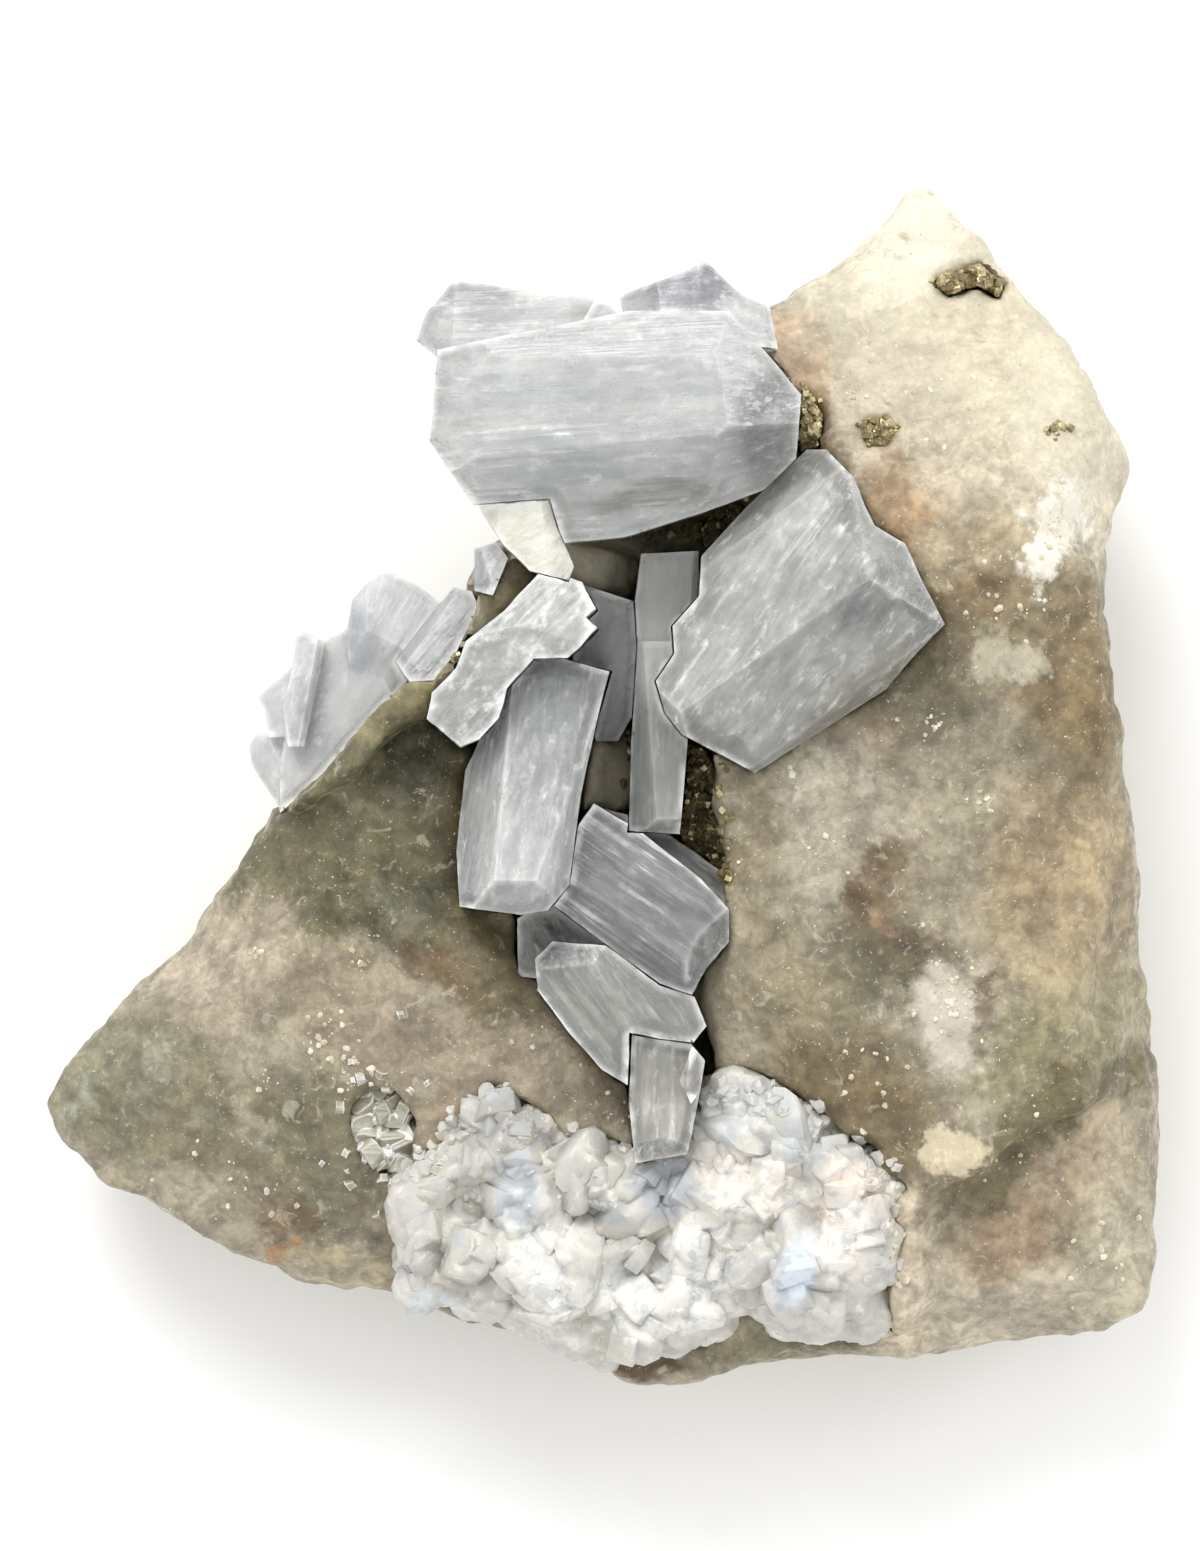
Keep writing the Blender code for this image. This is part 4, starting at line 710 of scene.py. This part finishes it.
slant_finish = make_barite_finish(
    "slant_barite", (212, 214, 210), (166, 170, 170), turn=(0.0, 0.0, -35.0), lines=0.7, veils=0.35,
    transmission=0.72)
slant_prism = make_crystal(
    "slant_prism", "slanting_prism", "blue_barite", slant_finish, -35.0, depth=0.08,
    milk=((50, 54, 56), (198, 200, 198)))

lower_finish = make_barite_finish(
    "lower_barite", (230, 229, 219), (196, 198, 192), turn=(0.0, 0.0, -52.0), lines=0.7, veils=0.4,
    transmission=0.7,
    # Painted shade: a dark patch on the small crystal tucked between its neighbours, which lies in shade
    patches=[((-3.2, -10.8), (2.2, 2.6), 0.0, (80, 84, 84), 0.85)])
lower_prism = make_crystal(
    "lower_prism", "lower_prism_crystal", "blue_barite", lower_finish, -52.0, depth=0.08,
    milk=((76, 80, 78), (220, 220, 213)))

end_finish = make_barite_finish(
    "end_barite", (234, 230, 220), (198, 195, 186), turn=(0.0, 0.0, 88.0), lines=0.6, veils=0.6)
end_prism = make_crystal(
    "end_prism", "upright_end_prism", "blue_barite", end_finish, 88.0, depth=0.08, heart=0.7)

blade_finish = make_barite_finish(
    "blade_barite", (255, 255, 250), (236, 238, 234), turn=(0.0, 0.0, 88.0), lines=0.35, veils=0.3,
    transmission=0.6, patches=[((3.4, 0.8), (4.0, 7.0), 0.0, (168, 170, 165), 0.9)])
blade = make_crystal(
    "blade_crystal", "narrow_blade", "grey_barite", blade_finish, 88.0, heart=0.3, voxel=0.2,
    milk=((232, 235, 234), (255, 255, 255)))

rear_finish = make_barite_finish(
    "rear_barite", (250, 251, 250), (226, 229, 229), turn=(0.0, 0.0, 60.0), lines=0.3, veils=0.3)
rear_blade = make_crystal(
    "rear_blade", "dark_blade", "grey_barite", rear_finish, 60.0, heart=0.3, voxel=0.2,
    milk=((228, 231, 232), (255, 255, 255)))

ridge_finish = make_barite_finish(
    "ridge_barite", (202, 203, 198), (170, 172, 168), turn=(0.0, 0.0, 45.0), lines=0.3, veils=0.9,
    transmission=0.25, roughness=0.3)
ridge = make_crystal(
    "ridge_crystal", "milky_ridge", "milky_barite", ridge_finish, 45.0, depth=0.14, heart=0.0)

side_finish = make_barite_finish(
    "side_barite", (255, 255, 252), (244, 246, 247), turn=(0.0, 0.0, 60.0), lines=0.3, veils=0.6,
    # Faces painted only a little lighter or darker by which way they look
    painted_facet_shading=((-0.3, 0.6, 0.75), 0.2, 0.95, 0.96, 1.03),
    patches=[
        ((-19.6, 4.2), (1.4, 4.5), 0.0, (196, 198, 210), 0.6),
        ((-16.2, 9.5), (1.6, 3.0), 0.0, (176, 182, 196), 0.5)])
side_crystals = make_crystal(
    "side_crystals", "side_cluster", "blue_barite", side_finish, 60.0, heart=0.4, voxel=0.2,
    milk=((236, 238, 240), (255, 255, 255)))

rim_finish = make_barite_finish(
    "rim_barite", (246, 247, 246), (214, 218, 222), turn=(0.0, 0.0, 50.0), lines=0.3, veils=0.4)
rim_tablet = make_crystal(
    "rim_tablet", "small_rim_tablet", "blue_barite", rim_finish, 50.0, grid=6, heart=0.6,
    voxel=0.2)
rim_point = make_crystal(
    "rim_point", "small_rim_point", "blue_barite", rim_finish, 50.0, grid=6, heart=0.5,
    voxel=0.2)

cream_finish = make_barite_finish(
    "cream_barite", (252, 249, 238), (232, 227, 210), turn=(0.0, 0.0, 30.0), lines=0.3, veils=0.5,
    transmission=0.1, roughness=0.35)
cream_wedge = make_crystal(
    "cream_wedge", "cream_wedge_crystal", "cream_barite", cream_finish, 30.0, depth=0.12, heart=0.0)


def make_crust(finish):
    """The crust's body: lumps with hollows between them."""
    crust = solid_copy("barite_crust", "crust_body")
    voxels(crust, CRUST_VOXEL, 1)
    modify(crust, "DISPLACE", strength=0.25 * MM, mid_level=0.0)
    relief(crust, "CLOUDS", 2.4, 1.2, noise_depth=1)
    relief(crust, "VORONOI", 1.6, 0.8, distance_metric="DISTANCE")
    relief(crust, "CLOUDS", 0.7, 0.3, noise_depth=2)
    return finish_piece(crust, "white_crust", finish, "barite_crust", angle=60.0)


crust_finish = make_crust_finish()
crust_body = make_crust(crust_finish)


class Ground:
    """Surfaces that grains and small crystals are laid on."""

    def __init__(self, *pieces):
        points, faces = [], []
        for piece in pieces:
            start = len(points)
            points += [vertex.co.copy() for vertex in piece.data.vertices]
            faces += [[start + corner for corner in face.vertices] for face in piece.data.polygons]
        self.tree = BVHTree.FromPolygons(points, faces)

    def under(self, x, y):
        """The highest point below the sky at (x, y), in metres, and its slope."""
        spot, normal, _, _ = self.tree.ray_cast(Vector((x * MM, y * MM, 0.08)), Vector((0.0, 0.0, -1.0)))
        return spot, normal


def grown_at(pattern, name, spots, dice):
    """Copies of one small piece, set at their spots, sizes and turns, as one mesh."""
    copies = []
    for spot, axis, sizes in spots:
        piece = pattern.copy()
        piece.data = pattern.data.copy()
        bpy.context.scene.collection.objects.link(piece)
        spin = Matrix.Rotation(dice.uniform(0.0, 2.0 * math.pi), 4, "Z")
        lean = axis.to_track_quat("Z", "Y").to_matrix().to_4x4()
        size = Matrix.Diagonal((*[part * MM for part in sizes], 1.0))
        piece.data.transform(Matrix.Translation(spot) @ lean @ spin @ size)
        copies.append(piece)
    bpy.ops.object.select_all(action="DESELECT")
    for piece in copies:
        piece.select_set(True)
    bpy.context.view_layer.objects.active = copies[0]
    bpy.ops.object.join()
    whole = bpy.context.active_object
    whole.name = name
    bpy.data.objects.remove(pattern, do_unlink=True)
    return whole


def grain_pattern(seed):
    """One rounded, uneven grain, 1 mm across before it is sized."""
    bpy.ops.object.select_all(action="DESELECT")
    bpy.ops.mesh.primitive_ico_sphere_add(subdivisions=2, radius=0.5, location=(0.0, 0.0, 0.0))
    grain = bpy.context.active_object
    in_edit(grain, lambda: bpy.ops.transform.vertex_random(offset=0.2, seed=seed))
    return grain


def cube_pattern():
    """One cube with narrow bevels, 1 mm across before it is sized."""
    bpy.ops.object.select_all(action="DESELECT")
    bpy.ops.mesh.primitive_cube_add(size=1.0, location=(0.0, 0.0, 0.0))
    cube = bpy.context.active_object
    in_edit(cube, lambda: bpy.ops.mesh.bevel(offset=0.05, segments=1, affect="EDGES"))
    return cube


def blade_pattern():
    """One thick tabular crystal with slanted ends, 1 mm long before it is sized."""
    bpy.ops.object.select_all(action="DESELECT")
    bpy.ops.mesh.primitive_cube_add(size=1.0, location=(0.0, 0.0, 0.0))
    blade = bpy.context.active_object
    tilt = Vector((0.55, 0.1, 0.83)).normalized()
    in_edit(
        blade,
        lambda: bpy.ops.mesh.bisect(
            plane_co=(0.1, 0.0, 0.33), plane_no=tilt, use_fill=True, clear_outer=True),
        lambda: bpy.ops.mesh.select_all(action="SELECT"),
        lambda: bpy.ops.mesh.bisect(
            plane_co=(-0.33, 0.0, 0.2), plane_no=(-0.8, 0.25, 0.55), use_fill=True, clear_outer=True),
        lambda: bpy.ops.mesh.select_all(action="SELECT"),
        lambda: bpy.ops.mesh.bevel(offset=0.05, segments=1, affect="EDGES"))
    return blade


def lump_pattern(seed):
    """One squat lump with a few flat breaks, 1 mm across before it is sized."""
    bpy.ops.object.select_all(action="DESELECT")
    bpy.ops.mesh.primitive_ico_sphere_add(subdivisions=2, radius=0.55, location=(0.0, 0.0, 0.0))
    lump = bpy.context.active_object
    in_edit(
        lump,
        lambda: bpy.ops.transform.vertex_random(offset=0.1, seed=seed),
        lambda: bpy.ops.mesh.bisect(
            plane_co=(0.26, 0.0, 0.16), plane_no=(0.8, 0.2, 0.55), use_fill=True, clear_outer=True),
        lambda: bpy.ops.mesh.select_all(action="SELECT"),
        lambda: bpy.ops.mesh.bisect(
            plane_co=(-0.2, 0.1, 0.26), plane_no=(-0.4, 0.5, 0.77), use_fill=True, clear_outer=True))
    return lump


def inside(x, y, outline):
    """Whether a point lies inside an outline."""
    result = False
    count = len(outline)
    for index in range(count):
        (x1, y1), (x2, y2) = outline[index], outline[(index + 1) % count]
        if (y1 > y) != (y2 > y) and x < (x2 - x1) * (y - y1) / (y2 - y1) + x1:
            result = not result
    return result


CRUST_OUTLINE = [
    (-13.2, -27), (-10.9, -24.8), (-8.8, -21.9), (-6.9, -21.1), (-4.6, -22.1), (-2.4, -23.9),
    (2.1, -25.1), (6.4, -23.8), (7.8, -20.5), (12.4, -21.5), (16.4, -24.5), (18.8, -26.1),
    (18.1, -29.8), (18.4, -33.8), (17.8, -36.1), (11.8, -35.8), (8.8, -34.5), (6.4, -36.1),
    (2.4, -37.1), (-0.2, -37.8), (-4.2, -36.1), (-8.6, -35.3), (-12.8, -33.5),
]

BORDER_FLOOR = -33.0

ground = Ground(rock, crust_body)
dice = random.Random(21)


def laid_on(x, y, sizes, sink):
    """A spot on the ground with a lean of its own, sunk in by a share of its size."""
    spot, normal = ground.under(x, y)
    if spot is None:
        return []
    lean = Vector((dice.uniform(-0.7, 0.7), dice.uniform(-0.7, 0.7), dice.uniform(0.4, 1.0)))
    return [(spot - normal * sizes[2] * sink * MM, (normal + lean).normalized(), sizes)]


def crust_spots(count, low, high, sink):
    """Places on the crust for its small crystals and lumps."""
    spots = []
    while len(spots) < count:
        x, y = dice.uniform(-14.5, 20.0), dice.uniform(-38.5, -20.0)
        if inside(x, y, CRUST_OUTLINE):
            size = dice.uniform(low, high)
            sizes = (size * dice.uniform(0.9, 1.5), size * dice.uniform(0.6, 1.0), size * dice.uniform(0.6, 0.9))
            spots += laid_on(x, y, sizes, sink)
    return spots


def border_spots(count, low, high, spread):
    """Places along the crust's border on the rock, where it frays out."""
    spots = []
    while len(spots) < count:
        index = dice.randrange(len(CRUST_OUTLINE))
        first, second = Vector(CRUST_OUTLINE[index - 1]), Vector(CRUST_OUTLINE[index])
        place = first.lerp(second, dice.random())
        if place.y > BORDER_FLOOR:
            size = dice.uniform(low, high)
            sizes = (size * dice.uniform(0.8, 1.4), size, size * dice.uniform(0.5, 0.9))
            spots += laid_on(place.x + dice.gauss(0.0, spread), place.y + dice.gauss(0.0, spread), sizes, 0.1)
    return spots


crust_blades = grown_at(blade_pattern(), "crust_blades", crust_spots(55, 1.2, 3.0, 0.2), dice)
finish_piece(crust_blades, "white_crust", crust_finish, angle=30.0)
crust_lumps = grown_at(lump_pattern(5), "crust_lumps", crust_spots(75, 1.8, 4.4, 0.3), dice)
finish_piece(crust_lumps, "white_crust", crust_finish, angle=75.0)
sugar_spots = crust_spots(260, 0.3, 0.8, 0.2) + border_spots(330, 0.3, 1.2, 0.55)
crust_sugar = grown_at(lump_pattern(8), "crust_sugar", sugar_spots, dice)
finish_piece(crust_sugar, "white_crust", crust_finish, angle=30.0)

# Beds of brassy cubes: middle, half sizes and number of the cubes
BRASS_BEDS = [
    ((5.8, 2.5), (1.3, 1.6), 34), ((6.4, -0.5), (1.3, 1.6), 36), ((6.8, -3.5), (1.5, 1.6), 40),
    ((7.2, -5.8), (1.3, 1.2), 30), ((3.8, 5.5), (0.6, 1.6), 10), ((1.9, 1.5), (0.6, 2.2), 14),
    ((8.1, 17.9), (1.3, 0.8), 20), ((5.1, 16.9), (2.0, 0.5), 16), ((13.4, 23.9), (0.9, 1.9), 34),
    ((18.3, 23.4), (1.1, 0.9), 20), ((24.3, 33.5), (2.3, 0.4), 18), ((30.2, 23.5), (0.6, 0.6), 5),
    ((-0.9, 17.5), (3.0, 0.5), 10), ((10.4, 14.8), (0.5, 0.5), 4), ((-9.9, 8.7), (0.5, 0.5), 3)]
PYRITE_NODES = ("pyrite_seam", "pyrite_step", "pyrite_notch", "pyrite_shoulder", "pyrite_apex")
brass_finish = make_brass_finish()
beds = []
for node in PYRITE_NODES:
    bed = solid_copy(node, node + "_bed")
    voxels(bed, 0.15, 0)
    relief(bed, "VORONOI", 0.5, 0.4, distance_metric="CHEBYCHEV")
    beds.append(finish_piece(bed, "pyrite", brass_finish, node, angle=20.0))
brass_ground = Ground(rock, *beds)

spots = []
for middle, half, count in BRASS_BEDS:
    for _ in range(count * 2):
        x = middle[0] + dice.gauss(0.0, 0.6) * half[0]
        y = middle[1] + dice.gauss(0.0, 0.6) * half[1]
        spot, normal = brass_ground.under(x, y)
        if spot is None:
            continue
        size = dice.uniform(0.2, 0.52)
        lean = Vector((dice.uniform(-1.0, 1.0), dice.uniform(-1.0, 1.0), dice.uniform(0.1, 1.0)))
        spots.append((spot, (normal + lean).normalized(), (size, size * dice.uniform(0.85, 1.1), size)))
brass = grown_at(cube_pattern(), "brassy_cubes", spots, dice)
finish_piece(brass, "pyrite", brass_finish, angle=20.0)

# The left hollow: crystals heaped from its floor up to just below its rim
HOLLOW_MIDDLE, HOLLOW_RIM = (-14.4, -23), (-18.2, -21.8)
rim_height = ground.under(*HOLLOW_RIM)[0].z
hollow_spots = []
for _ in range(26):
    x, y = HOLLOW_MIDDLE[0] + dice.uniform(-1.9, 1.9), HOLLOW_MIDDLE[1] + dice.uniform(-2.6, 2.6)
    spot, normal = ground.under(x, y)
    while spot.z < rim_height - 1.1 * MM:
        size = dice.uniform(0.8, 1.8)
        lean = Vector((dice.uniform(-0.8, 0.8), dice.uniform(-0.8, 0.8), 0.7))
        hollow_spots.append((spot.copy(), lean.normalized(), (size * 1.2, size * 0.7, size)))
        spot.z += 0.6 * size * MM
for _ in range(34):
    x = HOLLOW_MIDDLE[0] + dice.gauss(0.0, 1.0) * 2.2
    y = HOLLOW_MIDDLE[1] + dice.gauss(0.0, 1.0) * 2.8
    spot, normal = ground.under(x, y)
    if spot is not None:
        size = dice.uniform(0.3, 0.8)
        lean = Vector((dice.uniform(-0.8, 0.8), dice.uniform(-0.8, 0.8), 0.7))
        hollow_spots.append((spot, (normal + lean).normalized(), (size * 1.2, size * 0.8, size)))
hollow = grown_at(blade_pattern(), "hollow_crystals_group", hollow_spots, dice)
hollow_finish = make_barite_finish(
    "hollow_barite", (206, 203, 188), (146, 141, 120), veils=0.2, transmission=0.0, roughness=0.45, rim=0.1)
finish_piece(hollow, "milky_barite", hollow_finish, "hollow_crystals", angle=25.0)

# White crumbs on the rock: middle, half sizes, number
CRUMB_SPOTS = [
    ((28.5, 12), (1.2, 0.7), 12), ((21.6, 3.9), (1.6, 0.8), 14), ((12.7, 0.6), (1.4, 1.4), 12),
    ((15.1, -4.5), (1.5, 1.5), 12), ((25.5, -1.1), (1.4, 1.0), 8), ((22.8, -14.5), (2.2, 3.4), 60),
    ((-19, -16.9), (1.8, 1.6), 20), ((-16.7, -19), (1.8, 1.6), 24), ((-16.2, -11.8), (1.0, 0.8), 8),
    ((-22.4, -19.8), (0.8, 1.4), 8), ((-22.7, -11.2), (1.0, 0.6), 8), ((19.4, -29.8), (0.7, 5.0), 40),
    ((-14.6, -22.5), (2.0, 3.0), 26), ((29.9, 17.2), (1.6, 3.2), 30), ((13.1, 7.8), (2.4, 2.0), 14),
    ((22.4, 25.5), (6.0, 5.0), 34), ((26.4, 12.2), (3.0, 3.0), 16), ((27.8, -24.5), (5.0, 4.0), 26),
    ((17.8, -18.5), (3.0, 2.0), 14), ((1.1, -21.8), (3.0, 1.5), 20), ((-24.2, -26.5), (5.0, 3.0), 26),
    ((-2.9, -15.2), (4.0, 4.0), 14), ((17.1, 26.9), (2.0, 3.0), 20), ((33.1, -33.1), (2.6, 5.0), 20)]
spots = []
for middle, half, count in CRUMB_SPOTS:
    for _ in range(count):
        x = middle[0] + dice.gauss(0.0, 0.5) * half[0]
        y = middle[1] + dice.gauss(0.0, 0.5) * half[1]
        spot, normal = ground.under(x, y)
        if spot is None:
            continue
        size = 0.1 + 0.4 * dice.random() ** 2
        lean = Vector((dice.uniform(-1.0, 1.0), dice.uniform(-1.0, 1.0), 0.5))
        sizes = (size * dice.uniform(0.8, 1.6), size, size * dice.uniform(0.5, 0.9))
        spots.append((spot, (normal + lean).normalized(), sizes))
crumbs = grown_at(grain_pattern(3), "white_crumbs", spots, dice)
finish_piece(
    crumbs, "matrix_rock", make_grain_finish("crumb_white", (226, 218, 200), (186, 174, 148), 0.6),
    angle=50.0)
